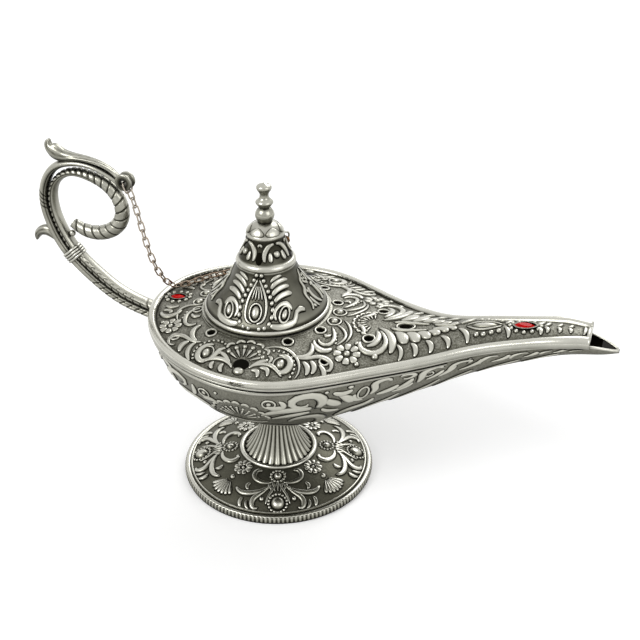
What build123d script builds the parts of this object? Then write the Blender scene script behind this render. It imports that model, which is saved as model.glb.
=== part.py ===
from build123d import *
import os
from math import cos, sin, sqrt, radians, pi

os.makedirs("parts", exist_ok=True)

# Cast lamp with a long spout: X points to the spout, Z is up, the foot's centre is the origin.

# Foot
foot_radius = 35.0
foot_edge_height = 2.6
foot_shoulder_width = 1.7
foot_plate_height = 8.2
foot_wall = 1.7
foot_rim_wall = 2.2
foot_line_bead_radius = 0.45
collar_ring_radius = 13.65
collar_bead_radius = 0.85

# Fluted stem
stem_base_radius = 12.7
stem_neck_radius = 5.9
stem_neck_height = 24.0
stem_top_radius = 7.4
flute_count = 30
flute_depth = 0.45

# Bolt that holds foot, stem and bowl together
bolt_radius = 2.0
bolt_head_radius = 3.8
bolt_head_height = 2.4
bolt_socket_width = 3.0
bolt_socket_depth = 1.4
bolt_thread_show = 1.2
washer_radius = 5.2
washer_thickness = 0.8
nut_width = 7.0
nut_height = 3.0
running_clearance = 0.1

# Hull, shared by the bowl below the seam and the pierced deck above it
rear_reach = 43.5
spout_reach = 116.6
widest_place = 2.3
hull_half_width = 40.4
hull_depth = 32.6
rim_height = 62.1
spout_rise = 14.4
deck_crown = 7.2
shell_wall = 1.4
seam_drop = 1.6
seam_gap = 0.08
mouth_place = 107.1
mouth_wall = 1.0
rim_bead_radius = 1.5
rim_bead_lift = 0.2
bolt_boss_radius = 5.6
bolt_boss_height = 2.6

# Lid and its seat on the deck
lid_axis_place = -3.0
seat_height = 68.0
seat_ring_radius = 22.6
seat_ring_fall = 3.0
lid_opening_radius = 17.2
spigot_radius = 16.6
spigot_wall = 1.3
spigot_length = 4.2
spigot_seat_depth = 1.3
lid_seat_gap = 0.15
lid_wall = 1.4
flange_radius = 21.2
lid_height = 32.2

# Turned finial and its fixing
finial_height = 14.0
finial_ball_radius = 3.3
stud_radius = 1.25
stud_length = 5.0
finial_nut_width = 5.0
finial_nut_height = 1.8

# Handle
handle_reach = 49.5
handle_rise = 58.1
rod_half_width = 2.6
outer_rod_half_thickness = 1.65
rod_spacing = 3.4
rope_half_thickness = 2.75
binding_turns = 4
binding_turn_radius = 0.52
binding_half_width = 3.3
binding_half_height = 4.15
ball_radius = 1.2
eye_radius = 3.1
eye_bore_radius = 1.45
eye_width = 4.0
leaf_half_width = 2.3

# Screws through the bowl's back into the handle
handle_screw_radius = 0.8
handle_screw_length = 5.0
handle_screw_head_radius = 1.5
handle_screw_head_height = 0.9
handle_screw_slot_width = 0.5
handle_screw_slot_depth = 0.4
lower_screw_drop = 5.9
upper_screw_drop = 2.5
screw_pad_radius = 1.9
screw_pad_face = 40.2

# Pierced holes in the deck
pierced_radius = 1.4
neck_hole_length = 4.5
neck_hole_width = 3.0

# Red stones
rear_gem_place = 37.0
front_gem_place = 86.3
rear_gem_length = 6.0
rear_gem_width = 3.6
front_gem_length = 7.2
front_gem_width = 4.0
gem_height = 1.6
gem_sink = 0.7
gem_clearance = 0.05
bezel_wall = 0.5
bezel_height = 0.55
gem_crown_angle = 40

# Safety chain
wire_radius = 0.26
link_length = 4.3
link_width = 2.5
link_clearance = 0.1
ring_wire_radius = 0.32
lid_eye_ring_radius = 1.3
lid_eye_wire_radius = 0.35

cut_overrun = 2.0


# The hull's lines: where the rim runs, how wide, how high, how deep and how crowned it is.
# Each row: place from the widest place to the spout's tip, half width share, depth share.
forward_shares = [
    (0.000, 1.000, 1.000),
    (0.070, 0.974, 0.975),
    (0.140, 0.898, 0.935),
    (0.210, 0.785, 0.850),
    (0.280, 0.662, 0.750),
    (0.350, 0.543, 0.655),
    (0.420, 0.437, 0.560),
    (0.490, 0.345, 0.475),
    (0.560, 0.277, 0.400),
    (0.640, 0.227, 0.335),
    (0.720, 0.195, 0.275),
    (0.800, 0.168, 0.215),
    (0.870, 0.138, 0.172),
    (0.917, 0.114, 0.148),
    (0.950, 0.088, 0.115),
    (0.975, 0.057, 0.075),
    (1.000, 0.012, 0.030),
]

# Each row: place from the rear to the spout's tip, rise share of the rim, crown share.
lengthwise_shares = [
    (0.000, 0.174, 0.06),
    (0.040, 0.140, 0.18),
    (0.085, 0.097, 0.42),
    (0.130, 0.060, 0.66),
    (0.190, 0.030, 0.86),
    (0.260, 0.005, 1.00),
    (0.340, 0.000, 0.96),
    (0.400, 0.010, 0.82),
    (0.480, 0.050, 0.72),
    (0.560, 0.130, 0.64),
    (0.625, 0.240, 0.66),
    (0.690, 0.440, 0.60),
    (0.750, 0.640, 0.48),
    (0.810, 0.800, 0.36),
    (0.870, 0.940, 0.27),
    (0.910, 0.995, 0.22),
    (0.941, 1.000, 0.20),
    (0.970, 0.950, 0.10),
    (1.000, 0.860, 0.02),
]


def follow(rows, place, column):
    """Smooth curve through a table: a cubic between rows, its slopes taken from the rows beside."""
    last = len(rows) - 1
    i = 0
    while i < last - 1 and place > rows[i + 1][0]:
        i += 1
    ends = [rows[max(i - 1, 0)], rows[i], rows[i + 1], rows[min(i + 2, last)]]
    step = ends[2][0] - ends[1][0]
    slope_in = (ends[2][column] - ends[0][column]) / (ends[2][0] - ends[0][0])
    slope_out = (ends[3][column] - ends[1][column]) / (ends[3][0] - ends[1][0])
    t = min(max((place - ends[1][0]) / step, 0), 1)
    rise = ends[1][column] * (2 * t**3 - 3 * t**2 + 1) + ends[2][column] * (3 * t**2 - 2 * t**3)
    return rise + step * (slope_in * (t**3 - 2 * t**2 + t) + slope_out * (t**3 - t**2))


def swell(x, column):
    """An ellipse from the rear to the widest place, then the table to the spout's tip."""
    if x < widest_place:
        back = (widest_place - x) / (widest_place + rear_reach)
        return sqrt(max(1 - back * back, 0))
    return follow(forward_shares, (x - widest_place) / (spout_reach - widest_place), column)


def half_width(x):
    return hull_half_width * swell(x, 1)


def depth(x):
    return hull_depth * swell(x, 2)


def lengthwise(x, column):
    return follow(lengthwise_shares, (x + rear_reach) / (spout_reach + rear_reach), column)


def rim_z(x):
    return rim_height + spout_rise * lengthwise(x, 1)


def crown(x):
    return deck_crown * lengthwise(x, 2)


def seam_z(x):
    return rim_z(x) - seam_drop


def deck_z(x, y):
    """Height of the deck's top: the crown falls off as a parabola towards the rim."""
    return rim_z(x) + crown(x) * (1 - (y / half_width(x)) ** 2)


# Stations along the hull, close together where it rounds off at the rear.
tip_blunt_share = 0.15
rear_station_angles = [4, 12, 22, 34, 48, 62, 76]
rear_stations = [widest_place - (widest_place + rear_reach) * cos(radians(a)) for a in rear_station_angles]
forward_stations = [widest_place + (spout_reach - widest_place) * row[0] for row in forward_shares]
tip_station = spout_reach - seam_drop * tip_blunt_share
covered_stations = [x for x in forward_stations if x < mouth_place - mouth_wall]
deck_stations = rear_stations + covered_stations + [mouth_place]
bowl_stations = rear_stations + forward_stations[:-1] + [tip_station]


def wall_at(x):
    """The wall thins from the bowl to the mouth of the spout."""
    along = min(max((x - widest_place) / (mouth_place - widest_place), 0), 1)
    return shell_wall + (mouth_wall - shell_wall) * along


def bowl_section(x, wall):
    """Half an ellipse below the seam; with a wall, its inside, carried up past the seam."""
    inner = wall > 0
    across = half_width(x) - wall
    down = depth(x) - seam_drop * swell(x, 2) - wall
    top = seam_z(x) + (cut_overrun if inner else 0)
    with BuildSketch(Plane.YZ.offset(x)) as section:
        with BuildLine():
            EllipticalCenterArc((0, seam_z(x)), across, down, start_angle=180, arc_size=180)
            if inner:
                Line((across, seam_z(x)), (across, top))
                Line((across, top), (-across, top))
                Line((-across, top), (-across, seam_z(x)))
            else:
                Line((across, top), (-across, top))
        make_face()
    return section.sketch


def deck_section(x, wall):
    """A crowned arch above the seam; with a wall, its inside, carried down past the seam."""
    across = half_width(x) - wall
    foot = seam_z(x) - cut_overrun if wall > 0 else seam_z(x) + seam_gap
    shoulder = rim_z(x) - wall
    with BuildSketch(Plane.YZ.offset(x)) as section:
        with BuildLine():
            Line((-across, shoulder), (-across, foot))
            Line((-across, foot), (across, foot))
            Line((across, foot), (across, shoulder))
            ThreePointArc((across, shoulder), (0, rim_z(x) + crown(x) - wall), (-across, shoulder))
        make_face()
    return section.sketch


# Bowl: the lower shell, with the spout's gutter and a boss for the bolt.
inner_rear = rear_reach - shell_wall
inner_stations = [widest_place - (widest_place + inner_rear) * cos(radians(a)) for a in rear_station_angles]
inner_forward = [x for x in forward_stations if x < spout_reach - 4 * mouth_wall]
with BuildPart() as bowl_form:
    for x in bowl_stations:
        add(bowl_section(x, 0))
    loft()

with BuildPart() as bowl_hollow:
    for x in inner_stations + inner_forward:
        add(bowl_section(x, wall_at(x)))
    loft()

# A pad inside the bowl's back wall, under the two screws that hold the handle.
screw_heights = [rim_height - lower_screw_drop, rim_height - upper_screw_drop]
screw_plane = Plane((-screw_pad_face, 0, 0), x_dir=(0, 1, 0), z_dir=(-1, 0, 0))
screw_spots = [screw_plane.to_local_coords(Vector(-screw_pad_face, 0, z)) for z in screw_heights]
with BuildPart() as screw_pad:
    with BuildSketch(screw_plane):
        for spot in screw_spots:
            with Locations((spot.X, spot.Y)):
                Circle(screw_pad_radius)
        between = (screw_spots[0] + screw_spots[1]) / 2
        with Locations((between.X, between.Y)):
            Rectangle(2 * screw_pad_radius, screw_heights[1] - screw_heights[0])
    extrude(amount=rear_reach - screw_pad_face)
    add(bowl_form.part, mode=Mode.INTERSECT)

bowl_floor_z = seam_z(0) - depth(0) + seam_drop * swell(0, 2)
with BuildPart() as bowl:
    add(bowl_form.part)
    add(bowl_hollow.part, mode=Mode.SUBTRACT)
    add(screw_pad.part)
    with BuildSketch(screw_plane):
        with Locations(*[(spot.X, spot.Y) for spot in screw_spots]):
            Circle(handle_screw_radius + running_clearance)
    extrude(amount=rear_reach - screw_pad_face, mode=Mode.SUBTRACT)
    with BuildSketch(Plane.XY.offset(bowl_floor_z + shell_wall / 2)):
        Circle(bolt_boss_radius)
    extrude(amount=bolt_boss_height)
    with BuildSketch(Plane.XY.offset(bowl_floor_z - cut_overrun)):
        Circle(bolt_radius + running_clearance)
    extrude(amount=bolt_boss_height + 2 * cut_overrun + shell_wall, mode=Mode.SUBTRACT)

bowl.part.label = "bowl"
export_step(bowl.part, "parts/bowl.step")

# Deck: the upper shell, pierced, with its rolled rim and the seat for the lid.
deck_inner_stations = inner_stations[2:] + covered_stations + [mouth_place + mouth_wall]
with BuildPart() as deck_form:
    for x in deck_stations:
        add(deck_section(x, 0))
    loft()

with BuildPart() as deck_hollow:
    for x in deck_inner_stations:
        add(deck_section(x, wall_at(x)))
    loft()

rim_angles = [0, 14, 30, 48, 68]
rim_stations = [widest_place - (widest_place + rear_reach) * cos(radians(a)) for a in rim_angles]
rim_stations += covered_stations + [mouth_place]
with BuildLine() as rim_line:
    rim_points = [(x, -half_width(x), rim_z(x) + rim_bead_lift) for x in rim_stations]
    Spline(*rim_points, tangents=[(0, -1, 0), (1, 0, 0)])

rim_section_count = 18
with BuildPart() as rim_bead:
    for i in range(rim_section_count + 1):
        along = rim_line.line % (i / rim_section_count)
        across = Vector(0, 0, 1).cross(along)
        with BuildSketch(Plane(rim_line.line @ (i / rim_section_count), x_dir=across, z_dir=along)):
            Circle(rim_bead_radius)
    loft()
    mirror(about=Plane.XZ)

# Each row: place from rear to tip, share of the half width, share of the widest pierced hole.
pierced_shares = [
    (0.102, 0.790, 0.65),
    (0.112, 0.268, 0.80),
    (0.177, 0.565, 0.85),
    (0.344, 0.500, 0.85),
    (0.395, 0.275, 0.85),
    (0.432, 0.745, 0.70),
    (0.500, 0.370, 1.00),
]
neck_hole_share = 0.564


def place_at(share):
    return share * (spout_reach + rear_reach) - rear_reach


def deck_plane(x):
    """Flat on the deck's midline, tilted as the deck is there."""
    slope = (deck_z(x + cut_overrun, 0) - deck_z(x - cut_overrun, 0)) / (2 * cut_overrun)
    return Plane((x, 0, deck_z(x, 0)), x_dir=(1, 0, slope), z_dir=(-slope, 0, 1))


def marquise(length, width, grow):
    """A pointed oval drawn with two arcs, grown all round by a margin."""
    half_long = length / 2 + grow * length / width
    half_wide = width / 2 + grow
    with BuildSketch() as outline:
        with BuildLine():
            ThreePointArc((-half_long, 0), (0, half_wide), (half_long, 0))
            ThreePointArc((half_long, 0), (0, -half_wide), (-half_long, 0))
        make_face()
    return outline.sketch


gems = [
    ("rear_gem", -rear_gem_place, rear_gem_length, rear_gem_width),
    ("front_gem", front_gem_place, front_gem_length, front_gem_width),
]
lid_axis = Plane((lid_axis_place, 0, 0))

with BuildPart() as deck:
    add(deck_form.part)
    add(deck_hollow.part, mode=Mode.SUBTRACT)
    with BuildSketch(lid_axis.offset(seat_height - seat_ring_fall)):
        Circle(seat_ring_radius)
    extrude(amount=seat_ring_fall)
    with BuildSketch(lid_axis.offset(seat_height)):
        Circle(seat_ring_radius - rim_bead_radius / 2)
    extrude(amount=deck_crown, mode=Mode.SUBTRACT)
    with BuildSketch(lid_axis.offset(seat_height - 2 * seat_ring_fall)):
        Circle(lid_opening_radius)
    extrude(amount=deck_crown + 2 * seat_ring_fall, mode=Mode.SUBTRACT)
    add(rim_bead.part)
    hole_z = rim_height + spout_rise
    for along, across, size in pierced_shares:
        x = place_at(along)
        y = half_width(x) * across
        with BuildSketch(Plane.XY.offset(hole_z)):
            with Locations((x, y), (x, -y)):
                Circle(pierced_radius * size)
        extrude(amount=-(spout_rise + shell_wall + cut_overrun), mode=Mode.SUBTRACT)
    with BuildSketch(Plane.XY.offset(hole_z)):
        with Locations((place_at(neck_hole_share), 0)):
            Ellipse(neck_hole_length / 2, neck_hole_width / 2)
    extrude(amount=-(spout_rise + shell_wall + cut_overrun), mode=Mode.SUBTRACT)
    for name, x, length, width in gems:
        with BuildSketch(deck_plane(x).offset(-gem_sink)):
            add(marquise(length, width, bezel_wall))
        extrude(amount=gem_sink + bezel_height)
        with BuildSketch(deck_plane(x).offset(-gem_sink)):
            add(marquise(length, width, gem_clearance))
        extrude(amount=gem_sink + bezel_height + gem_height, mode=Mode.SUBTRACT)

deck.part.label = "deck"
export_step(deck.part, "parts/deck.step")


def make_gem(x, length, width):
    """A cut stone: a straight girdle in the bezel and a crown that tapers to a flat table."""
    with BuildPart() as gem:
        with BuildSketch(deck_plane(x).offset(-gem_sink)):
            add(marquise(length, width, 0))
        extrude(amount=gem_sink + bezel_height / 2)
        with BuildSketch(deck_plane(x).offset(bezel_height / 2)):
            add(marquise(length, width, 0))
        extrude(amount=gem_height - gem_sink - bezel_height / 2, taper=gem_crown_angle)
    return gem


for name, x, length, width in gems:
    gem = make_gem(x, length, width)
    gem.part.label = name
    export_step(gem.part, f"parts/{name}.step")


# Foot: a hollow casting, its plate rising from a flat edge to the seat of the stem.
plate_edge_radius = foot_radius - foot_shoulder_width
plate_rise = foot_plate_height - foot_edge_height
plate_bend_radius_share = 0.67
plate_bend_rise_share = 0.69
plate_bend_radius = foot_radius * plate_bend_radius_share
plate_bend_z = foot_edge_height + plate_rise * plate_bend_rise_share
foot_bore_radius = bolt_radius + running_clearance
hollow_radius = foot_radius - foot_rim_wall
line_bead_seat = (plate_edge_radius - foot_line_bead_radius, foot_edge_height + foot_line_bead_radius / 2)
with BuildPart() as foot_disc:
    with BuildSketch(Plane.XZ):
        with BuildLine():
            Line((foot_bore_radius, foot_plate_height), (collar_ring_radius, foot_plate_height))
            Spline(
                (collar_ring_radius, foot_plate_height),
                (plate_bend_radius, plate_bend_z),
                (plate_edge_radius, foot_edge_height),
                tangents=[(1, -0.05), (1, -0.42)],
            )
            Line((plate_edge_radius, foot_edge_height), (foot_radius, foot_edge_height))
            Line((foot_radius, foot_edge_height), (foot_radius, 0))
            Line((foot_radius, 0), (hollow_radius, 0))
            Line((hollow_radius, 0), (hollow_radius, foot_edge_height - foot_wall / 2))
            Spline(
                (hollow_radius, foot_edge_height - foot_wall / 2),
                (plate_bend_radius, plate_bend_z - foot_wall),
                (collar_ring_radius, foot_plate_height - foot_wall),
                tangents=[(-1, 0.42), (-1, 0.05)],
            )
            Line(
                (collar_ring_radius, foot_plate_height - foot_wall),
                (foot_bore_radius, foot_plate_height - foot_wall),
            )
            Line((foot_bore_radius, foot_plate_height - foot_wall), (foot_bore_radius, foot_plate_height))
        make_face()
    revolve(axis=Axis.Z)
    with BuildSketch(Plane.XZ):
        with Locations((collar_ring_radius, foot_plate_height)):
            Circle(collar_bead_radius)
        with Locations(line_bead_seat):
            Circle(foot_line_bead_radius)
    revolve(axis=Axis.Z)

foot_disc.part.label = "foot_disc"
export_step(foot_disc.part, "parts/foot_disc.step")

# Stem: a fluted trumpet between the foot's collar and the bowl, bored for the bolt.
stem_top_z = bowl_floor_z + bolt_boss_radius
stem_waist_rise = stem_neck_height - foot_plate_height
throat_share = 0.3
throat_radius = stem_neck_radius + (stem_top_radius - stem_neck_radius) * throat_share
# Each row: rise share of the waist, spread share between the neck's radius and the base's, flute share.
trumpet_shares = [(0.0, 1.0, 1.0), (0.18, 0.68, 1.0), (0.42, 0.36, 1.0), (0.70, 0.12, 0.8), (1.0, 0.0, 0.5)]


def fluted_section(radius, groove, z):
    """A star with a ridge and a groove for every flute."""
    with BuildSketch(Plane.XY.offset(z)) as section:
        corners = []
        for i in range(flute_count):
            turn = 2 * pi / flute_count
            inner = radius - groove
            corners.append((radius * cos(turn * i), radius * sin(turn * i)))
            corners.append((inner * cos(turn * (i + 0.5)), inner * sin(turn * (i + 0.5))))
        with BuildLine():
            Polyline(*corners, close=True)
        make_face()
    return section.sketch


with BuildPart() as foot_stem:
    for rise, spread, groove in trumpet_shares:
        radius = stem_neck_radius + (stem_base_radius - stem_neck_radius) * spread
        add(fluted_section(radius, flute_depth * groove, foot_plate_height + stem_waist_rise * rise))
    loft(ruled=True)
    with BuildSketch(Plane.XZ):
        with BuildLine():
            Polyline((0, stem_neck_height), (stem_neck_radius, stem_neck_height))
            ThreePointArc(
                (stem_neck_radius, stem_neck_height),
                (throat_radius, (stem_neck_height + stem_top_z) / 2),
                (stem_top_radius, stem_top_z),
            )
            Polyline((stem_top_radius, stem_top_z), (0, stem_top_z), (0, stem_neck_height))
        make_face()
    revolve(axis=Axis.Z)
    with BuildSketch(Plane.XY.offset(foot_plate_height)):
        Circle(bolt_radius + running_clearance)
    extrude(amount=stem_top_z - foot_plate_height, mode=Mode.SUBTRACT)
    add(bowl_form.part, mode=Mode.SUBTRACT)

foot_stem.part.label = "foot_stem"
export_step(foot_stem.part, "parts/foot_stem.step")

# Bolt, washer and nut: the head sits up inside the hollow foot, the nut on the boss in the bowl.
washer_z = foot_plate_height - foot_wall - washer_thickness
boss_top_z = bowl_floor_z + shell_wall / 2 + bolt_boss_height
with BuildPart() as foot_washer:
    with BuildSketch(Plane.XY.offset(washer_z)):
        Circle(washer_radius)
        Circle(bolt_radius + running_clearance, mode=Mode.SUBTRACT)
    extrude(amount=washer_thickness)

foot_washer.part.label = "foot_washer"
export_step(foot_washer.part, "parts/foot_washer.step")

with BuildPart() as foot_bolt:
    with BuildSketch(Plane.XY.offset(washer_z - bolt_head_height)):
        Circle(bolt_head_radius)
    extrude(amount=bolt_head_height)
    fillet(foot_bolt.edges().filter_by(GeomType.CIRCLE).sort_by(Axis.Z)[0], bolt_head_height / 4)
    with BuildSketch(Plane.XY.offset(washer_z - bolt_head_height)):
        RegularPolygon(bolt_socket_width / 2, 6, major_radius=False)
    extrude(amount=bolt_socket_depth, mode=Mode.SUBTRACT)
    with BuildSketch(Plane.XY.offset(washer_z)):
        Circle(bolt_radius)
    extrude(amount=boss_top_z + nut_height + bolt_thread_show - washer_z)

foot_bolt.part.label = "foot_bolt"
export_step(foot_bolt.part, "parts/foot_bolt.step")

with BuildPart() as foot_nut:
    with BuildSketch(Plane.XY.offset(boss_top_z)):
        RegularPolygon(nut_width / 2, 6, major_radius=False)
        Circle(bolt_radius, mode=Mode.SUBTRACT)
    extrude(amount=nut_height)

foot_nut.part.label = "foot_nut"
export_step(foot_nut.part, "parts/foot_nut.step")

# Lid: a hollow bell with a rolled flange, stepped inside for the ring that drops into the deck's opening.
lid_base = seat_height + lid_seat_gap
# Shares of the flange radius and of the lid's height, from the flange up.
skirt_shares = [
    (1.000, 0.030),
    (0.925, 0.121),
    (0.750, 0.242),
    (0.608, 0.363),
    (0.514, 0.484),
    (0.481, 0.550),
]
neck_shares = [(0.440, 0.615), (0.349, 0.720), (0.311, 0.779), (0.292, 0.850)]
dome_shares = [(0.292, 0.900), (0.222, 0.962), (0.123, 1.0)]
flange_flat_share = (0.970, 0.000)
flange_round_share = (1.005, 0.012)
band_share = (0.486, 0.582)
upper_ring_share = (0.311, 0.875)


def bell(share):
    return (lid_axis_place + share[0] * flange_radius, lid_base + share[1] * lid_height)


def inside(share):
    return (bell(share)[0] - lid_wall, bell(share)[1])


ceiling_share = 0.945
ceiling_z = lid_base + lid_height * ceiling_share
stud_hole_x = lid_axis_place + stud_radius + running_clearance
spigot_outer_x = lid_axis_place + spigot_radius
spigot_inner_x = spigot_outer_x - spigot_wall
spigot_head_z = lid_base + spigot_seat_depth
with BuildPart() as lid_bell:
    with BuildSketch(Plane.XZ):
        with BuildLine():
            Line((spigot_outer_x, lid_base), bell(flange_flat_share))
            ThreePointArc(bell(flange_flat_share), bell(flange_round_share), bell(skirt_shares[0]))
            Spline(*[bell(s) for s in skirt_shares], tangents=[(0, 1), (-0.1, 1)])
            ThreePointArc(bell(skirt_shares[-1]), bell(band_share), bell(neck_shares[0]))
            Spline(*[bell(s) for s in neck_shares])
            ThreePointArc(bell(neck_shares[-1]), bell(upper_ring_share), bell(dome_shares[0]))
            Spline(*[bell(s) for s in dome_shares])
            Line(bell(dome_shares[-1]), (stud_hole_x, lid_base + lid_height))
            Line((stud_hole_x, lid_base + lid_height), (stud_hole_x, ceiling_z))
            Line((stud_hole_x, ceiling_z), (inside(neck_shares[-1])[0], ceiling_z))
            Spline(
                (inside(neck_shares[-1])[0], ceiling_z),
                inside(neck_shares[2]),
                inside(neck_shares[0]),
                inside(skirt_shares[3]),
                (spigot_inner_x, bell(skirt_shares[1])[1]),
            )
            Line((spigot_inner_x, bell(skirt_shares[1])[1]), (spigot_inner_x, spigot_head_z))
            Line((spigot_inner_x, spigot_head_z), (spigot_outer_x, spigot_head_z))
            Line((spigot_outer_x, spigot_head_z), (spigot_outer_x, lid_base))
        make_face()
    revolve(axis=Axis((lid_axis_place, 0, 0), (0, 0, 1)))

lid_bell.part.label = "lid_bell"
export_step(lid_bell.part, "parts/lid_bell.step")

# Spigot: a plain ring pressed into the bell's step, loose in the deck's opening.
with BuildPart() as lid_spigot:
    with BuildSketch(lid_axis.offset(lid_base - spigot_length)):
        Circle(spigot_radius)
        Circle(spigot_radius - spigot_wall, mode=Mode.SUBTRACT)
    extrude(amount=spigot_length + spigot_seat_depth)

lid_spigot.part.label = "lid_spigot"
export_step(lid_spigot.part, "parts/lid_spigot.step")

# Finial: one turned piece, a ball below a flared knop, with a stud through the lid's crown.
finial_base = lid_base + lid_height
stud_foot = ceiling_z - stud_length
finial_shares = [
    (0.70, 0.00),
    (0.85, 0.07),
    (1.00, 0.18),
    (0.85, 0.30),
    (0.55, 0.37),
    (0.76, 0.44),
    (0.92, 0.515),
    (0.64, 0.59),
    (0.47, 0.665),
    (0.52, 0.745),
    (0.70, 0.815),
    (0.79, 0.880),
    (0.60, 0.945),
]
with BuildPart() as lid_finial:
    with BuildSketch(Plane.XZ):
        knop = [
            (lid_axis_place + share * finial_ball_radius, finial_base + rise * finial_height)
            for share, rise in finial_shares
        ]
        with BuildLine():
            Line((lid_axis_place, stud_foot), (lid_axis_place + stud_radius, stud_foot))
            Line((lid_axis_place + stud_radius, stud_foot), (lid_axis_place + stud_radius, finial_base))
            Line((lid_axis_place + stud_radius, finial_base), knop[0])
            Spline(*knop[:5])
            Spline(*knop[4:9])
            Spline(*knop[8:])
            Line(knop[-1], (lid_axis_place, finial_base + finial_height))
            Line((lid_axis_place, finial_base + finial_height), (lid_axis_place, stud_foot))
        make_face()
    revolve(axis=Axis((lid_axis_place, 0, 0), (0, 0, 1)))

lid_finial.part.label = "lid_finial"
export_step(lid_finial.part, "parts/lid_finial.step")

with BuildPart() as lid_nut:
    with BuildSketch(lid_axis.offset(ceiling_z - finial_nut_height)):
        RegularPolygon(finial_nut_width / 2, 6, major_radius=False)
        Circle(stud_radius, mode=Mode.SUBTRACT)
    extrude(amount=finial_nut_height)

lid_nut.part.label = "lid_nut"
export_step(lid_nut.part, "parts/lid_nut.step")

# Handle: two rods side by side. The outer one runs to the chain eye, the rope one rolls into a scroll.
# Each row is a share of the handle's reach behind the hull and of its rise above the rim.
outer_rod_shares = [
    (-0.061, -0.112),
    (0.113, -0.086),
    (0.352, -0.014),
    (0.580, 0.126),
    (0.758, 0.289),
    (0.840, 0.437),
    (0.875, 0.592),
    (0.844, 0.725),
    (0.758, 0.823),
    (0.616, 0.866),
    (0.461, 0.861),
    (0.333, 0.818),
    (0.242, 0.766),
]
scroll_shares = [
    (0.475, 0.793),
    (0.342, 0.738),
    (0.267, 0.645),
    (0.273, 0.535),
    (0.380, 0.446),
    (0.535, 0.422),
    (0.665, 0.466),
]
# Each row: place along the rod, share of its half thickness, share of its half width.
outer_rod_sizes = [(0, 1, 1), (0.65, 1, 1), (0.8, 0.78, 0.92), (0.92, 0.62, 0.8), (1, 0.55, 0.7)]
rope_rod_sizes = [
    (0, 0.58, 0.97),
    (0.45, 0.56, 0.96),
    (0.60, 0.52, 0.93),
    (0.67, 0.68, 0.93),
    (0.76, 0.88, 1.0),
    (0.86, 1.0, 1.05),
    (0.94, 0.92, 0.97),
    (1, 0.66, 0.72),
]


def handle_point(share):
    return (-rear_reach - share[0] * handle_reach, 0, rim_height + share[1] * handle_rise)


def rod(line, sizes, half_thickness, half_width, sections):
    """Ovals set square to a line in the handle's plane and lofted into one rod."""
    with BuildPart() as shape:
        for i in range(sections + 1):
            place = i / sections
            with BuildSketch(Plane(line @ place, x_dir=(0, 1, 0), z_dir=line % place)):
                Ellipse(half_width * follow(sizes, place, 2), half_thickness * follow(sizes, place, 1))
        loft()
    return shape.part


with BuildLine() as outer_line:
    Spline(*[handle_point(s) for s in outer_rod_shares])


def beside_outer(place, spacing):
    """A point inside the curve of the outer rod, in the handle's plane."""
    side = (outer_line.line % place).cross(Vector(0, 1, 0))
    return outer_line.line @ place - side * spacing


with BuildLine() as rope_line:
    rope_points = [beside_outer(i / 10, rod_spacing) for i in range(9)]
    Spline(*rope_points, *[handle_point(s) for s in scroll_shares])

eye_place_shares = (0.212, 0.790)
eye_center = handle_point(eye_place_shares)
with BuildPart() as handle_chain_eye:
    with BuildSketch(Plane(eye_center, x_dir=(1, 0, 0), z_dir=(0, -1, 0)).offset(-eye_width / 2)):
        Circle(eye_radius)
        Circle(eye_bore_radius, mode=Mode.SUBTRACT)
    extrude(amount=eye_width)

handle_chain_eye.part.label = "handle_chain_eye"
export_step(handle_chain_eye.part, "parts/handle_chain_eye.step")
with BuildPart() as eye_room:
    with BuildSketch(Plane(eye_center, x_dir=(1, 0, 0), z_dir=(0, -1, 0)).offset(-eye_width)):
        Circle(eye_radius)
    extrude(amount=2 * eye_width)

outer_sections = 24
rope_sections = 32
horn_sections = 14
rear_leaf_sections = 10
outer_form = rod(outer_line.line, outer_rod_sizes, outer_rod_half_thickness, rod_half_width, outer_sections)
rope_form = rod(rope_line.line, rope_rod_sizes, rope_half_thickness, rod_half_width, rope_sections)

# Screws from inside the bowl, one into each rod.
with BuildPart() as screw_shanks:
    with BuildSketch(screw_plane):
        with Locations(*[(spot.X, spot.Y) for spot in screw_spots]):
            Circle(handle_screw_radius)
    extrude(amount=handle_screw_length)

with BuildPart() as handle_screws:
    add(screw_shanks.part)
    with BuildSketch(screw_plane):
        with Locations(*[(spot.X, spot.Y) for spot in screw_spots]):
            Circle(handle_screw_head_radius)
    extrude(amount=-handle_screw_head_height)
    with BuildSketch(screw_plane.offset(-handle_screw_head_height)):
        with Locations(*[(spot.X, spot.Y) for spot in screw_spots]):
            Rectangle(2 * handle_screw_head_radius, handle_screw_slot_width)
    extrude(amount=handle_screw_slot_depth, mode=Mode.SUBTRACT)

handle_screws.part.label = "handle_screws"
export_step(handle_screws.part, "parts/handle_screws.step")

with BuildPart() as handle_outer_rod:
    add(outer_form)
    add(bowl_form.part, mode=Mode.SUBTRACT)
    add(eye_room.part, mode=Mode.SUBTRACT)
    add(screw_shanks.part, mode=Mode.SUBTRACT)

handle_outer_rod.part.label = "handle_outer_rod"
export_step(handle_outer_rod.part, "parts/handle_outer_rod.step")
with BuildPart() as handle_rope_rod:
    add(rope_form)
    add(bowl_form.part, mode=Mode.SUBTRACT)
    add(deck_form.part, mode=Mode.SUBTRACT)
    add(outer_form, mode=Mode.SUBTRACT)
    add(eye_room.part, mode=Mode.SUBTRACT)
    add(screw_shanks.part, mode=Mode.SUBTRACT)

handle_rope_rod.part.label = "handle_rope_rod"
export_step(handle_rope_rod.part, "parts/handle_rope_rod.step")

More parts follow.
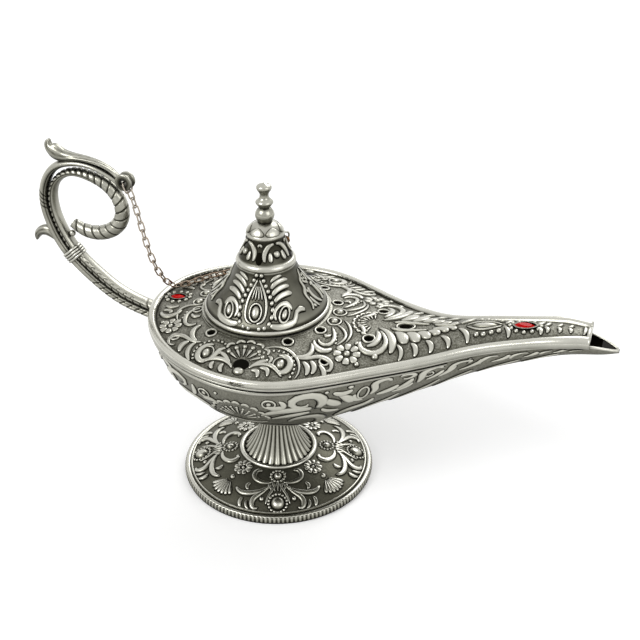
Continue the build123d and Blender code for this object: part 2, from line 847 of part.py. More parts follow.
# Binding: four turns of wire drawn round both rods where the rear leaf springs off.
binding_place = 0.405
turn_spacing_share = 0.96
binding_center = beside_outer(binding_place, rod_spacing / 2)
binding_plane = Plane(binding_center, x_dir=(0, 1, 0), z_dir=outer_line.line % binding_place)
turn_pitch = 2 * binding_turn_radius * turn_spacing_share
binding_line_height = binding_half_height - binding_turn_radius
with BuildPart() as handle_binding:
    for i in range(binding_turns):
        turn_plane = binding_plane.offset((i - (binding_turns - 1) / 2) * turn_pitch)
        with BuildLine(turn_plane) as turn_line:
            EllipticalCenterArc((0, 0), binding_half_width, binding_line_height, arc_size=360)
        with BuildSketch(Plane(turn_line.line @ 0, x_dir=turn_plane.z_dir, z_dir=turn_line.line % 0)):
            Circle(binding_turn_radius)
        sweep(path=turn_line.line)
    with BuildSketch(binding_plane.offset(-binding_turns / 2 * turn_pitch)):
        Ellipse(binding_half_width, binding_line_height)
    extrude(amount=binding_turns * turn_pitch)
    add(outer_form, mode=Mode.SUBTRACT)
    add(rope_form, mode=Mode.SUBTRACT)

handle_binding.part.label = "handle_binding"
export_step(handle_binding.part, "parts/handle_binding.step")

# Leaves: the horn on top runs back along the rod to the eye, the rear leaf curls out below it.
horn_shares = [
    (0.262, 0.808),
    (0.318, 0.850),
    (0.452, 0.893),
    (0.600, 0.903),
    (0.680, 0.905),
    (0.748, 0.930),
    (0.784, 0.962),
    (0.770, 0.998),
]
horn_sizes = [
    (0, 0.30, 0.60),
    (0.30, 0.36, 0.80),
    (0.55, 0.50, 0.95),
    (0.70, 0.95, 1.00),
    (0.82, 1.25, 0.95),
    (0.92, 0.85, 0.60),
    (1, 0.16, 0.16),
]
rear_leaf_shares = [(0.800, 0.345), (0.826, 0.364), (0.880, 0.388), (0.950, 0.372), (0.990, 0.308)]
rear_leaf_sizes = [(0, 0.55, 1.0), (0.3, 0.95, 1.0), (0.6, 0.78, 0.9), (0.85, 0.5, 0.6), (1, 0.14, 0.16)]
with BuildLine() as horn_line:
    Spline(*[handle_point(s) for s in horn_shares])
with BuildLine() as rear_leaf_line:
    Spline(*[handle_point(s) for s in rear_leaf_shares])
horn_form = rod(horn_line.line, horn_sizes, leaf_half_width, leaf_half_width, horn_sections)
rear_form = rod(rear_leaf_line.line, rear_leaf_sizes, leaf_half_width, leaf_half_width, rear_leaf_sections)
with BuildPart() as handle_top_leaf:
    add(horn_form)
    add(outer_form, mode=Mode.SUBTRACT)
    add(rope_form, mode=Mode.SUBTRACT)
    add(eye_room.part, mode=Mode.SUBTRACT)
with BuildPart() as handle_rear_leaf:
    add(rear_form)
    add(outer_form, mode=Mode.SUBTRACT)
    add(rope_form, mode=Mode.SUBTRACT)
    add(handle_binding.part, mode=Mode.SUBTRACT)

handle_top_leaf.part.label = "handle_top_leaf"
export_step(handle_top_leaf.part, "parts/handle_top_leaf.step")
handle_rear_leaf.part.label = "handle_rear_leaf"
export_step(handle_rear_leaf.part, "parts/handle_rear_leaf.step")

ball_place = 0.375
rope_thin_share = 0.56
with BuildPart() as handle_ball:
    seat = rope_line.line @ ball_place
    side = (rope_line.line % ball_place).cross(Vector(0, 1, 0))
    with Locations(seat - side * (rope_half_thickness * rope_thin_share + ball_radius)):
        Sphere(ball_radius)
handle_ball.part.label = "handle_ball"
export_step(handle_ball.part, "parts/handle_ball.step")

# Safety chain: interlinked ovals from the handle's eye, along the deck behind the lid, to the lid's eye.
lid_eye_turn = 52
lid_eye_height_share = 0.772
eye_shank_share = 1.3
lid_eye_seat_radius = follow([(h, r) for r, h in neck_shares], lid_eye_height_share, 1) * flange_radius
lid_eye_reach = lid_eye_seat_radius + lid_eye_ring_radius + lid_eye_wire_radius / 2
lid_eye_out = Vector(cos(radians(lid_eye_turn)), sin(radians(lid_eye_turn)), 0)
lid_eye_z = lid_base + lid_height * lid_eye_height_share
lid_eye_center = Vector(lid_axis_place, 0, lid_eye_z) + lid_eye_out * lid_eye_reach
lid_eye_plane = Plane(lid_eye_center, x_dir=lid_eye_out, z_dir=lid_eye_out.cross(Vector(0, 0, 1)))
with BuildPart() as lid_chain_eye:
    with BuildLine(lid_eye_plane) as eye_ring:
        CenterArc((0, 0), lid_eye_ring_radius, 0, 360)
    with BuildSketch(Plane(eye_ring.line @ 0, x_dir=lid_eye_plane.z_dir, z_dir=eye_ring.line % 0)):
        Circle(lid_eye_wire_radius)
    sweep(path=eye_ring.line)
    shank_start = lid_eye_center - lid_eye_out * lid_eye_ring_radius
    with BuildSketch(Plane(shank_start, x_dir=(0, 0, 1), z_dir=-lid_eye_out)):
        Circle(lid_eye_wire_radius * eye_shank_share)
    extrude(amount=lid_wall / 2)
    add(lid_bell.part, mode=Mode.SUBTRACT)
lid_chain_eye.part.label = "lid_chain_eye"
export_step(lid_chain_eye.part, "parts/lid_chain_eye.step")

# Places on the deck where the chain lies: shares of the hull's length, of the half width there,
# and how far it is lifted off the deck, as a share of a link's width.
chain_rest_shares = [
    (0.0140, 0.10, 1.35),
    (0.0235, 0.27, 0.30),
    (0.0420, 0.42, 0.00),
    (0.0680, 0.55, 0.00),
    (0.0960, 0.63, 0.00),
    (0.1300, 0.68, 0.00),
    (0.1720, 0.70, 0.10),
    (0.2120, 0.69, 1.30),
]
# The last stretch leans over the bell: share of the flange radius, turn in degrees, share of lid height.
chain_lean_shares = [(0.97, 96, 0.270), (0.68, 84, 0.530)]


def chain_rest(share):
    x = place_at(share[0])
    y = half_width(x) * share[1]
    return Vector(x, y, deck_z(x, y) + link_width * (0.5 + share[2]) + 4 * link_clearance)


def chain_lean(share):
    reach = share[0] * flange_radius
    turn = radians(share[1])
    return Vector(lid_axis_place + reach * cos(turn), reach * sin(turn), lid_base + share[2] * lid_height)


rests = [chain_rest(share) for share in chain_rest_shares]
rests += [chain_lean(share) for share in chain_lean_shares]
eye_middle = Vector(*eye_center)
hang = (rests[0] - eye_middle).normalized()
ring_width = eye_width + 2 * (ring_wire_radius + link_clearance)
ring_height = eye_radius + 2 * ring_wire_radius + 2 * link_clearance
ring_corner_share = 0.3
ring_middle = eye_middle + hang * (ring_height / 2)
with BuildSketch(Plane(ring_middle, x_dir=(0, 1, 0), z_dir=hang.cross(Vector(0, 1, 0)))) as ring_path:
    RectangleRounded(ring_width, ring_height, ring_height * ring_corner_share)
ring_wire = ring_path.sketch.faces()[0].outer_wire()
with BuildPart() as handle_jump_ring:
    with BuildSketch(Plane(ring_wire @ 0, z_dir=ring_wire % 0)):
        Circle(ring_wire_radius)
    sweep(path=ring_wire)

handle_jump_ring.part.label = "handle_jump_ring"
export_step(handle_jump_ring.part, "parts/handle_jump_ring.step")

ring_bottom = eye_middle + hang * ring_height
climb = (lid_eye_center - rests[-1]).normalized()
pull = (lid_eye_out * climb.dot(lid_eye_out) + Vector(0, 0, 1) * climb.Z).normalized()
eye_catch = lid_eye_center - pull * lid_eye_ring_radius
catch_wire = pull.cross(lid_eye_plane.z_dir)
with BuildLine() as chain_line:
    Spline(ring_bottom, *rests, eye_catch, tangents=[hang, climb])

# A link is six-sided wire bent into an oval; each hooks the next with a small clearance.
link_end_radius = link_width / 2 - wire_radius
link_side = (link_length - link_width) / 2
with BuildPart() as link:
    end_angles = (pi / 2, pi / 4, 0, -pi / 4, -pi / 2)
    ends = [(link_side + link_end_radius * cos(a), link_end_radius * sin(a)) for a in end_angles]
    with BuildLine() as link_path:
        Polyline(*ends, *[(-x, -y) for x, y in ends], close=True)
    start = link_path.wires()[0]
    with BuildSketch(Plane(start @ 0, x_dir=(0, 0, 1), z_dir=start % 0)):
        RegularPolygon(wire_radius, 6)
    sweep(path=start, transition=Transition.RIGHT)

chain_edge = chain_line.edges()[0]
span = chain_edge.length
half_link = link_length / 2 - wire_radius
first_place = half_link - (ring_wire_radius + wire_radius + link_clearance)
last_place = span - half_link + (lid_eye_wire_radius + wire_radius + link_clearance)
longest_pitch = link_length - 4 * wire_radius - 3 * link_clearance
link_count = 1 + int((last_place - first_place) / longest_pitch + 1)
pitch = (last_place - first_place) / (link_count - 1)


def square_to(direction, along):
    return (direction - along * direction.dot(along)).normalized()


side = Vector(0, 1, 0)
frames = []
for i in range(link_count):
    place = (first_place + pitch * i) / span
    along = chain_edge % place
    side = square_to(side, along)
    frames.append((chain_edge @ place, along, side))
last_side = frames[-1][2].rotate(Axis((0, 0, 0), frames[-1][1]), 90 * (link_count - 1))
twist = last_side.get_signed_angle(square_to(catch_wire, frames[-1][1]), frames[-1][1])
twist = (twist + 90) % 180 - 90
link_places = []
for i, (point, along, across) in enumerate(frames):
    turned = across.rotate(Axis((0, 0, 0), along), 90 * (i % 2) + twist * i / (link_count - 1))
    link_places.append(Plane(point, x_dir=along, z_dir=turned).location)
with BuildPart() as lid_chain:
    with Locations(*link_places):
        add(link.part)

lid_chain.part.label = "lid_chain"
export_step(lid_chain.part, "parts/lid_chain.step")
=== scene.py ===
import bpy
import numpy as np
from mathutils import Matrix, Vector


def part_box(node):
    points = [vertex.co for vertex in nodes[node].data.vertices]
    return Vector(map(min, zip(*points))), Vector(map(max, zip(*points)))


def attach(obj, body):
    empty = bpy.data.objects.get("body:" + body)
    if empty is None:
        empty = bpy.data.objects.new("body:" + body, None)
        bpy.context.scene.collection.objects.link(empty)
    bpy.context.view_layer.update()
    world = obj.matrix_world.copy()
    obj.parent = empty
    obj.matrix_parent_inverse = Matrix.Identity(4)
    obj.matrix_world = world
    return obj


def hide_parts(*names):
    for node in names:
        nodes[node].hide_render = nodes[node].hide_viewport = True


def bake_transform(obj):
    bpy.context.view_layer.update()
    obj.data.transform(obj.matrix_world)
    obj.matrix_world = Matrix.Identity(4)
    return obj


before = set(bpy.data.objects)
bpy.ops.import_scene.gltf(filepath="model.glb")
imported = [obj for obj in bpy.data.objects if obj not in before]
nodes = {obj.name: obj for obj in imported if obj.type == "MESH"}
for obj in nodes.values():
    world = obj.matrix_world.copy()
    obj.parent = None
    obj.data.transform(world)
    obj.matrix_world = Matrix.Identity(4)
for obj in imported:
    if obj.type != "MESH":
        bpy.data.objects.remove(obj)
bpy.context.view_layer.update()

# Foot casting: the hollow round plate, sand cast and blackened in its hollows, then rubbed bright on top.
# Its ground stays as the CAD node; the reeded edge, the beads and the scrolls are raised on it.


def linear(code):
    """An sRGB hex colour as linear red, green, blue and an opaque alpha."""
    parts = np.array([int(code[i:i + 2], 16) for i in (1, 3, 5)]) / 255
    light = np.where(parts <= 0.04045, parts / 12.92, ((parts + 0.055) / 1.055) ** 2.4)
    return (*light.tolist(), 1.0)


def feed(tree, node, inputs):
    """Values, or the sockets that give them, into the inputs of a node."""
    for name, value in inputs.items():
        if isinstance(value, bpy.types.NodeSocket):
            tree.links.new(value, node.inputs[name])
        else:
            node.inputs[name].default_value = value


def add_node(tree, kind, inputs=None, **settings):
    """One node: settings are its own options, inputs are values or the sockets that feed it."""
    made = tree.nodes.new(kind)
    for name, value in settings.items():
        setattr(made, name, value)
    feed(tree, made, inputs or {})
    return made


def combine(tree, operation, first, second, **settings):
    """One step of arithmetic between two numbers or sockets."""
    return add_node(tree, "ShaderNodeMath", {0: first, 1: second}, operation=operation, **settings).outputs[0]


def noise(tree, place, scale, detail=2.0):
    """A cloud over the object, from 0 to 1, with so many waves to the metre."""
    settings = {"Vector": place, "Scale": scale, "Detail": detail}
    return add_node(tree, "ShaderNodeTexNoise", settings).outputs["Fac"]


def spread(tree, value, low, high, start=0.0, end=1.0):
    """A value from start to end carried to the same share of the way from low to high."""
    ends = {"Value": value, 1: start, 2: end, 3: low, 4: high}
    return add_node(tree, "ShaderNodeMapRange", ends).outputs["Result"]


def graded(tree, value, stops):
    """A ramp through pairs of place and colour."""
    ramp = add_node(tree, "ShaderNodeValToRGB", {"Fac": value})
    elements = ramp.color_ramp.elements
    while len(elements) < len(stops):
        elements.new(1.0)
    for element, (position, colour) in zip(elements, stops):
        element.position = position
        element.color = colour
    return ramp.outputs["Color"]


def axis_of(tree, vector, axis):
    """One axis of a vector."""
    return add_node(tree, "ShaderNodeSeparateXYZ", {0: vector}).outputs[axis]


def bumped(tree, height, depth_mm):
    """The direction of a surface that follows a cloud, so many millimetres deep."""
    return add_node(tree, "ShaderNodeBump", {"Height": height, "Distance": depth_mm / 1000}).outputs["Normal"]


def facing_up(tree):
    """How far a face looks up: 1 straight up, 0 sideways and -1 straight down."""
    return axis_of(tree, add_node(tree, "ShaderNodeNewGeometry").outputs["Normal"], "Z")


def new_finish(name):
    """A new material, its node tree, its shader and the place on the object that its textures follow."""
    made = bpy.data.materials.new(name)
    made.use_nodes = True
    tree = made.node_tree
    return made, tree, tree.nodes["Principled BSDF"], add_node(tree, "ShaderNodeTexCoord").outputs["Object"]


# Patina, the same on all the silver: how far a hollow is felt, in metres, what the cloud adds, how much
# painted shade by facing makes tops lighter and undersides darker, and what the common level takes away.
hollow_reach = 0.0022
cloud_share = 0.22
facing_shade_share = 0.3
patina_level = 0.33


def antique_silver(name, colours, roughness, hollow, grain, raised=None, speckle=0.0):
    """Silver plate over cast alloy with dark patina. How bright it is comes from how high a place stands
    (raised, a function that gives a socket, 0 to 1) and from how open it lies (hollow is that share), with a
    slow cloud of 7 mm over both. Tops are painted lighter and undersides darker by which way a face looks, a
    painted shade. The stipple's width and depth in millimetres are its grain, and speckle is how far it spots
    the colour."""
    made, tree, shader, place = new_finish(name)
    sky = add_node(tree, "ShaderNodeAmbientOcclusion", {"Distance": hollow_reach}, samples=6)
    level = combine(tree, "MULTIPLY", sky.outputs["AO"], hollow)
    if raised:
        level = combine(tree, "ADD", level, combine(tree, "MULTIPLY", raised(tree, place), 1 - hollow))
    grain_width, grain_depth = grain
    cloud = noise(tree, place, 140.0, 3.0)
    stipple = noise(tree, place, 1000 / grain_width)
    # The facing term is painted shade: faces that look up come out lighter and faces that look down darker.
    for source, share in ((cloud, cloud_share), (facing_up(tree), facing_shade_share), (stipple, speckle)):
        level = combine(tree, "ADD", level, combine(tree, "MULTIPLY", source, share))
    level = combine(tree, "SUBTRACT", level, patina_level + speckle / 2)
    feed(tree, shader, {
        "Base Color": graded(tree, level, [(position, linear(code)) for position, code in colours]),
        "Roughness": spread(tree, level, *roughness),
        "Normal": bumped(tree, stipple, grain_depth),
        "Metallic": 1.0,
    })
    return made


def finish_node(name, material):
    """A CAD node that stays gets its finish in every material slot."""
    for place in nodes[name].material_slots:
        place.material = material


def grid_faces(rows, around, looped):
    """Quads between neighbouring rows of a grid whose columns close on themselves. A looped grid closes
    along its rows too; any other ends in one point at each end, joined by triangles."""
    row = np.arange(rows if looped else rows - 1)[:, None]
    column = np.arange(around)[None, :]
    beside = (column + 1) % around
    below = (row + 1) % rows
    corners = [row * around + column, row * around + beside, below * around + beside, below * around + column]
    quads = np.stack(corners, axis=-1).reshape(-1, 4)
    if looped:
        return quads, np.zeros((0, 3), int)
    column, beside = column[0], beside[0]
    start = np.full(around, rows * around)
    last = (rows - 1) * around
    caps = [np.stack([start, beside, column], 1), np.stack([start + 1, last + column, last + beside], 1)]
    return quads, np.concatenate(caps)


def closed_form(grid, tone=None, looped=False):
    """A closed skin from a grid of points, rows by columns, columns closed on themselves. An open end
    gets the middle of its row as its pole. tone is 0 where the metal stays dark and 1 where it is bright."""
    rows, around = grid.shape[:2]
    points = grid.reshape(-1, 3)
    tone = np.ones(rows * around) if tone is None else np.broadcast_to(tone, (rows, around)).reshape(-1)
    if not looped:
        points = np.concatenate([points, grid[:1].mean(axis=1), grid[-1:].mean(axis=1)])
        tone = np.concatenate([tone, tone[:1], tone[-1:]])
    quads, triangles = grid_faces(rows, around, looped)
    return points, quads, triangles, tone


def make_piece(name, forms, material, body="lamp", sharp=None, stands_for=()):
    """Closed skins in millimetres joined into one mesh in metres, each turned outward by its signed volume:
    the sum over its triangles of the product of their corners."""
    points, faces, tones, count = [], [], [], 0
    for places, quads, triangles, tone in forms:
        corners = np.concatenate([quads[:, [0, 1, 2]], quads[:, [0, 2, 3]], triangles])
        a, b, c = np.moveaxis((places - places.mean(axis=0))[corners], 1, 0)
        if np.einsum("ij,ij->i", a, np.cross(b, c)).sum() < 0:
            quads, triangles = quads[:, ::-1], triangles[:, ::-1]
        points.append(places / 1000)
        faces += (quads + count).tolist() + (triangles + count).tolist()
        tones.append(tone)
        count += len(places)
    mesh = bpy.data.meshes.new(name)
    mesh.from_pydata(np.concatenate(points).tolist(), [], faces)
    painted = mesh.attributes.new("tone", "FLOAT", "POINT")
    painted.data.foreach_set("value", np.concatenate(tones).astype(np.float32))
    mesh.shade_smooth()
    if sharp is not None:
        mesh.set_sharp_from_angle(angle=np.radians(sharp))
    mesh.materials.append(material)
    piece = bpy.data.objects.new(name, mesh)
    bpy.context.scene.collection.objects.link(piece)
    if stands_for:
        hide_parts(*stands_for)
    if body:
        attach(piece, body)
    return piece


def angles(count):
    """Even angles round a full turn, the first nought and none twice."""
    return np.linspace(0, 2 * np.pi, count, endpoint=False)


def unit(vectors):
    """The same directions at a length of one."""
    return vectors / np.linalg.norm(vectors, axis=-1, keepdims=True)


def round_axis(reach, angle, height):
    """Points that lie so far out from the upright axis, at an angle round it and at a height."""
    return np.stack([reach * np.cos(angle), reach * np.sin(angle), height + 0 * angle], axis=-1)


def turned(profile, axis=0.0):
    """A ring turned about an upright axis that stands so far along X: each profile row is (radius, height),
    and the profile closes."""
    radius, height = np.array(profile, float).T
    return closed_form(round_axis(radius, angles(96)[:, None], height) + [axis, 0, 0], looped=True)


def distances(line):
    """How far along a line each of its points lies, from nought at its start."""
    return np.concatenate([[0.0], np.cumsum(np.linalg.norm(np.diff(line, axis=0), axis=1))])


def line_through(points, count, start=None, end=None):
    """A smooth line: one cubic between neighbours over chord length, with equal slope and curvature where
    two meet, and end slopes given or those of the first and last parabola. Read off evenly by length."""
    points = np.array(points, float)
    knots = distances(points)
    step = np.diff(knots)[:, None]
    rise = np.diff(points, axis=0) / step
    system = np.eye(len(points))
    right = np.zeros_like(points)
    inner = np.arange(1, len(points) - 1)
    system[inner, inner - 1] = step[1:, 0]
    system[inner, inner] = 2 * (step[1:, 0] + step[:-1, 0])
    system[inner, inner + 1] = step[:-1, 0]
    right[1:-1] = 3 * (step[1:] * rise[:-1] + step[:-1] * rise[1:])
    right[0] = rise[0] + (rise[0] - rise[1]) * step[0] / (step[0] + step[1]) if start is None else start
    right[-1] = rise[-1] + (rise[-1] - rise[-2]) * step[-1] / (step[-1] + step[-2]) if end is None else end
    slope = np.linalg.solve(system, right)
    fine = np.linspace(0, knots[-1], 12 * count)
    span = np.clip(np.searchsorted(knots, fine, side="right") - 1, 0, len(points) - 2)
    size = np.diff(knots)[span][:, None]
    t = (fine[:, None] - knots[span][:, None]) / size
    dense = points[span] * (2 * t**3 - 3 * t**2 + 1) + points[span + 1] * (3 * t**2 - 2 * t**3)
    dense = dense + size * (slope[span] * (t**3 - 2 * t**2 + t) + slope[span + 1] * (t**3 - t**2))
    length = distances(dense)
    even = np.linspace(0, length[-1], count)
    return np.stack([np.interp(even, length, dense[:, k]) for k in range(dense.shape[1])], axis=1)


# Raised work stands on a dark skirt and a ledge, and its foot sinks into the ground: all in millimetres.
sink = 0.25
skirt = 0.22
ledge = 0.05


def chased(width, points, tall=None, fat=0.5, taper=0.6, rows=13):
    """A raised leaf or scroll along a line: its half width follows the sine of its place, so it is fattest
    at the share fat and pointed at both ends. Across, it is a flat crown with rounded sides on a thin dark
    skirt. tall is its height; left out, it grows with the width."""
    tall = (0.3 + 0.16 * width if width < 3 else 0.75) if tall is None else tall
    place = np.linspace(0, 1, rows + 2)
    line = line_through(points, rows + 2)
    along = unit(np.gradient(line, axis=0))
    side = np.stack([-along[:, 1], along[:, 0]], axis=1)[1:-1, None]
    swell = np.sin(np.pi * place[1:-1] ** (np.log(0.5) / np.log(fat))) ** taper
    half = np.maximum(swell * width / 2, 0.08)[:, None]
    share = np.array([-1, -1, -0.86, -0.5, 0, 0.5, 0.86, 1, 1, 0])
    spare = np.array([-1, 0, 0, 0, 0, 0, 0, 0, 1, 0]) * skirt
    crown = np.array([0, 0, 0.8, 0.96, 1, 0.96, 0.8, 0, 0, 0])
    floor = np.array([0.6, 1, 1, 1, 1, 1, 1, 1, 0.6, -sink / ledge]) * ledge
    bright = np.array([0, 0, 0.6, 1, 0.94, 1, 0.6, 0, 0, 0])
    flat = line[1:-1, None] + side * (half * share + spare)[..., None]
    high = floor + crown * tall * np.sqrt(swell)[:, None]
    flat = np.concatenate([flat.reshape(-1, 2), line[:1], line[-1:]])
    high = np.concatenate([high.reshape(-1), [ledge / 2, ledge / 2]])
    tone = np.concatenate([(bright * np.ones((rows, 1))).reshape(-1), [0, 0]])
    return flat, high, tone, *grid_faces(rows, len(share), False)


def spun(x, y, degrees):
    """Local points turned about the origin in their own plane, in one row."""
    a = np.radians(degrees)
    return np.stack([x * np.cos(a) - y * np.sin(a), x * np.sin(a) + y * np.cos(a)], axis=-1).reshape(-1, 2)


def bead(centre, radius, second=None, turn=0.0, tall=None, around=10):
    """A raised dome, round or oval, on a thin dark skirt: rings at shares of its radii rise to one point."""
    second = radius if second is None else second
    tall = 0.75 * min(radius, second) if tall is None else tall
    share = np.array([1, 1, 0.88, 0.55])[:, None]
    spare = np.array([skirt, 0, 0, 0])[:, None]
    x = (radius * share + spare) * np.cos(angles(around))
    y = (second * share + spare) * np.sin(angles(around))
    flat = np.concatenate([spun(x, y, turn), np.zeros((2, 2))]) + np.array(centre, float)
    level = np.array([0.6 * ledge, ledge, ledge + 0.5 * tall, ledge + 0.87 * tall])
    high = np.concatenate([np.repeat(level, around), [-sink, ledge + tall]])
    tone = np.concatenate([np.repeat([0, 0, 0.5, 0.95], around), [0, 1]])
    return flat, high, tone, *grid_faces(4, around, False)


def pearls(centre, radius, second, count, size):
    """Small beads set evenly round an ellipse."""
    x = centre[0] + radius * np.cos(angles(count))
    y = centre[1] + second * np.sin(angles(count))
    return [bead(spot, size, around=8) for spot in zip(x, y)]


def from_centre(centre, angle, reach):
    """The point that lies at an angle from a centre, so far out."""
    return np.array(centre) + reach * np.array([np.cos(angle), np.sin(angle)])


def rosette(centre, radius, petals, heart):
    """Petals as short chased lines running out from a domed heart."""
    forms = [bead(centre, heart)]
    near = heart + 0.35
    for angle in angles(petals) + 0.2:
        line = [from_centre(centre, angle, reach) for reach in (near, (near + radius) / 2, radius)]
        forms.append(chased(4.3 * radius / petals, line, tall=0.5, fat=0.64, taper=0.3, rows=9))
    return forms


def shell(centre, start, end, ribs, inner, outer, width, bulb=0.0):
    """Ribs fanned out from a point, each with a bulb at its tip where bulb is above nought."""
    forms = []
    for angle in np.radians(np.linspace(start, end, ribs)):
        line = [from_centre(centre, angle, reach) for reach in (inner, (inner + outer) / 2, outer)]
        forms.append(chased(width, line, fat=0.75, taper=0.45, rows=7))
        if bulb:
            forms.append(bead(from_centre(centre, angle, outer + 0.6 * bulb), bulb, around=8))
    return forms


def across(forms, axis=1):
    """The same forms again, mirrored across one of the two local directions."""
    mirror = np.where(np.arange(2) == axis, -1, 1)
    return forms + [(form[0] * mirror, *form[1:]) for form in forms]


def about(forms, degrees):
    """The same forms turned in their own plane."""
    return [(spun(*form[0].T, degrees), *form[1:]) for form in forms]


def laid(forms, carrier):
    """Local forms put on a surface: the carrier gives a place and an outward direction for each local point,
    and the form's height goes along that direction."""
    placed = []
    for flat, high, tone, quads, triangles in forms:
        places, outward = carrier(flat[:, 0], flat[:, 1])
        placed.append((places + outward * high[:, None], quads, triangles, tone))
    return placed


def tone_of(tree, place):
    """The carving's own brightness, painted on its points: crowns bright, feet dark, and below nought on the
    discs of painted shade.
    """
    return add_node(tree, "ShaderNodeAttribute", attribute_name="tone").outputs["Fac"]


plate_radii = (14.5, 23.45, 33.3)
plate_heights = (8.2, 6.46, 2.6)
reed_count = 144
reed_depth = 0.32
foot_axis_degrees = -70.6

# Blackened cast plate: a dull dark ground that the bright carving stands out from.
plate_silver = antique_silver(
    "blackened cast silver plate",
    [(0.0, "#100f08"), (0.5, "#302f26"), (1.0, "#636256")],
    roughness=(0.62, 0.44), hollow=0.85, grain=(0.6, 0.08), speckle=0.35,
)
# Chased work rubbed by hand: pale tops with a soft gleam, nearly black in the cuts.
carved_silver = antique_silver(
    "chased silver rubbed bright",
    [(0.0, "#100f0a"), (0.3, "#33322a"), (0.62, "#868579"), (1.0, "#c3c2b8")],
    roughness=(0.58, 0.27), hollow=0.34, grain=(0.5, 0.02), raised=tone_of,
)
# Burnished beads: the smoothest and palest metal, with long soft highlights.
bright_silver = antique_silver(
    "burnished silver bead",
    [(0.0, "#1c1b15"), (0.45, "#6a695f"), (1.0, "#cac9bf")],
    roughness=(0.46, 0.22), hollow=0.95, grain=(0.8, 0.01),
)
finish_node("foot_disc", plate_silver)


def on_foot(x, y):
    """The foot's plate: height is the parabola through three radii, and outward is square to its slope."""
    radius = np.hypot(x, y)
    (r0, r1, r2), (z0, z1, z2) = plate_radii, plate_heights
    first = (z1 - z0) / (r1 - r0)
    bend = ((z2 - z1) / (r2 - r1) - first) / (r2 - r0)
    height = z0 + first * (radius - r0) + bend * (radius - r0) * (radius - r1)
    slope = first + bend * (2 * radius - r0 - r1)
    outward = np.stack([-slope * x / radius, -slope * y / radius, np.ones_like(x)], axis=1)
    return np.stack([x, y, height], axis=1), unit(outward)


def reeded_edge():
    """The foot's edge: a rounded band whose outer radius rises and falls with the cosine of the angle times
    the number of reeds, full on the flank and none on the top."""
    angle = angles(reed_count * 6)[:, None]
    profile = [(33.25, 2.5), (33.5, 2.78), (34.2, 2.86), (34.85, 2.72), (35.2, 2.3), (35.35, 1.7),
               (35.38, 1.1), (35.3, 0.55), (34.95, 0.2), (34.3, 0.6)]
    radius, height = np.array(profile).T
    cut = np.array([0, 0, 0, 0.1, 0.7, 1, 1, 0.9, 0.5, 0])
    wave = 0.5 + 0.5 * np.cos(reed_count * angle)
    reach = radius - reed_depth * cut * (1 - wave) ** 0.7
    grid = round_axis(reach, angle, height)
    tone = 1 - 0.75 * np.minimum(cut, 1) * (1 - wave)
    return closed_form(grid, tone, looped=True)


def round_profile(radius, height, size, count=10):
    """A circle in the radius and height plane, for a turned bead."""
    angle = angles(count)
    return np.stack([radius + size * np.cos(angle), height + size * np.sin(angle)], axis=1)


outer_bead = turned(round_profile(32.7, 2.95, 0.42))
collar_bead = turned(round_profile(13.65, 8.3, 0.93, 14))
edge_forms = [reeded_edge(), outer_bead, collar_bead]
make_piece("foot_edge_and_beads", edge_forms, carved_silver)

half_motif = [
    chased(0.9, [(20.8, 0.1), (24, 1.9), (27, 3.6), (29.8, 4.4)]),
    chased(1.9, [(15.7, 5.3), (14.9, 7.1), (16.7, 8.5), (19.6, 7.2), (20.9, 4.4), (20.6, 1.4)], fat=0.4),
    chased(1.9, [(21.2, 1.4), (23.6, 4.8), (24.6, 9.6), (23.5, 13.4), (20.6, 15.2)], fat=0.62),
    chased(1.4, [(20.4, 9.6), (21.4, 11.0), (23.2, 10.6)]),
    chased(1.9, [(22.8, 2.6), (25.3, 6.4), (27.9, 9.2), (30.3, 8.8), (30.3, 6.7)], fat=0.6),
    bead((27.3, 5.8), 0.85),
    chased(1.4, [(25.7, 12.4), (27.3, 13.6), (29.4, 13.3)]),
    chased(1.1, [(27.0, 11.0), (28.8, 11.4), (30.6, 10.4)]),
]
whole_motif = across(half_motif)
whole_motif += [bead((18.0, 0), 1.45), *pearls((18.0, 0), 2.5, 2.5, 13, 0.55)]
whole_motif += [bead((29.1, 0), 2.3, tall=1.2, around=16), *pearls((29.1, 0), 3.3, 3.3, 17, 0.55)]
whole_motif += shell((29.1, 0), 156, 204, 5, 4.2, 8.4, 1.0)
between = rosette((18.0, 0), 3.5, 9, 0.7) + [bead((23.3, 0), 0.95)]
between += shell((24.0, 0), -42, 42, 7, 1.0, 7.2, 1.2)
whole_motif += about(between, 45)
foot_forms = [form for quarter in range(4) for form in about(whole_motif, foot_axis_degrees + 90 * quarter)]
make_piece("foot_scrolls", laid(foot_forms, on_foot), carved_silver)

# Stem: a cast trumpet with thirty rounded flutes that run out into a shell over the foot's collar.
# It is clamped between foot and bowl by the bolt inside it.
stem_rows = [(8.2, 12.7, 1.0), (11.0, 10.45, 1.0), (14.8, 8.35, 1.0), (19.2, 6.75, 0.9), (24.0, 5.9, 0.7),
             (28.0, 6.2, 0.7), (33.5, 7.1, 0.7)]
flute_count = 30
flute_depth = 0.62
groove_depth = 0.28
stem_foot_radius = 12.7


def fluted_stem():
    """Radius from a smooth profile, less two depths, one in step with the radius and one the same all the
    way up, times one minus the rounded cosine of half the flute angle: round ridges meet in dark grooves."""
    profile = line_through([(row[0], row[1]) for row in stem_rows], 44)
    height, radius = profile.T[:, :, None]
    angle = angles(flute_count * 8)
    ridge = np.abs(np.cos(flute_count / 2 * angle)) ** 0.6
    share = np.interp(height[:, 0], [row[0] for row in stem_rows], [row[2] for row in stem_rows])[:, None]
    cut = share * (1 - ridge)
    reach = radius * (1 - flute_depth / stem_foot_radius * cut) - groove_depth * cut
    return closed_form(round_axis(reach, angle, height), 0.12 + 0.88 * ridge**1.3 + 0 * height)


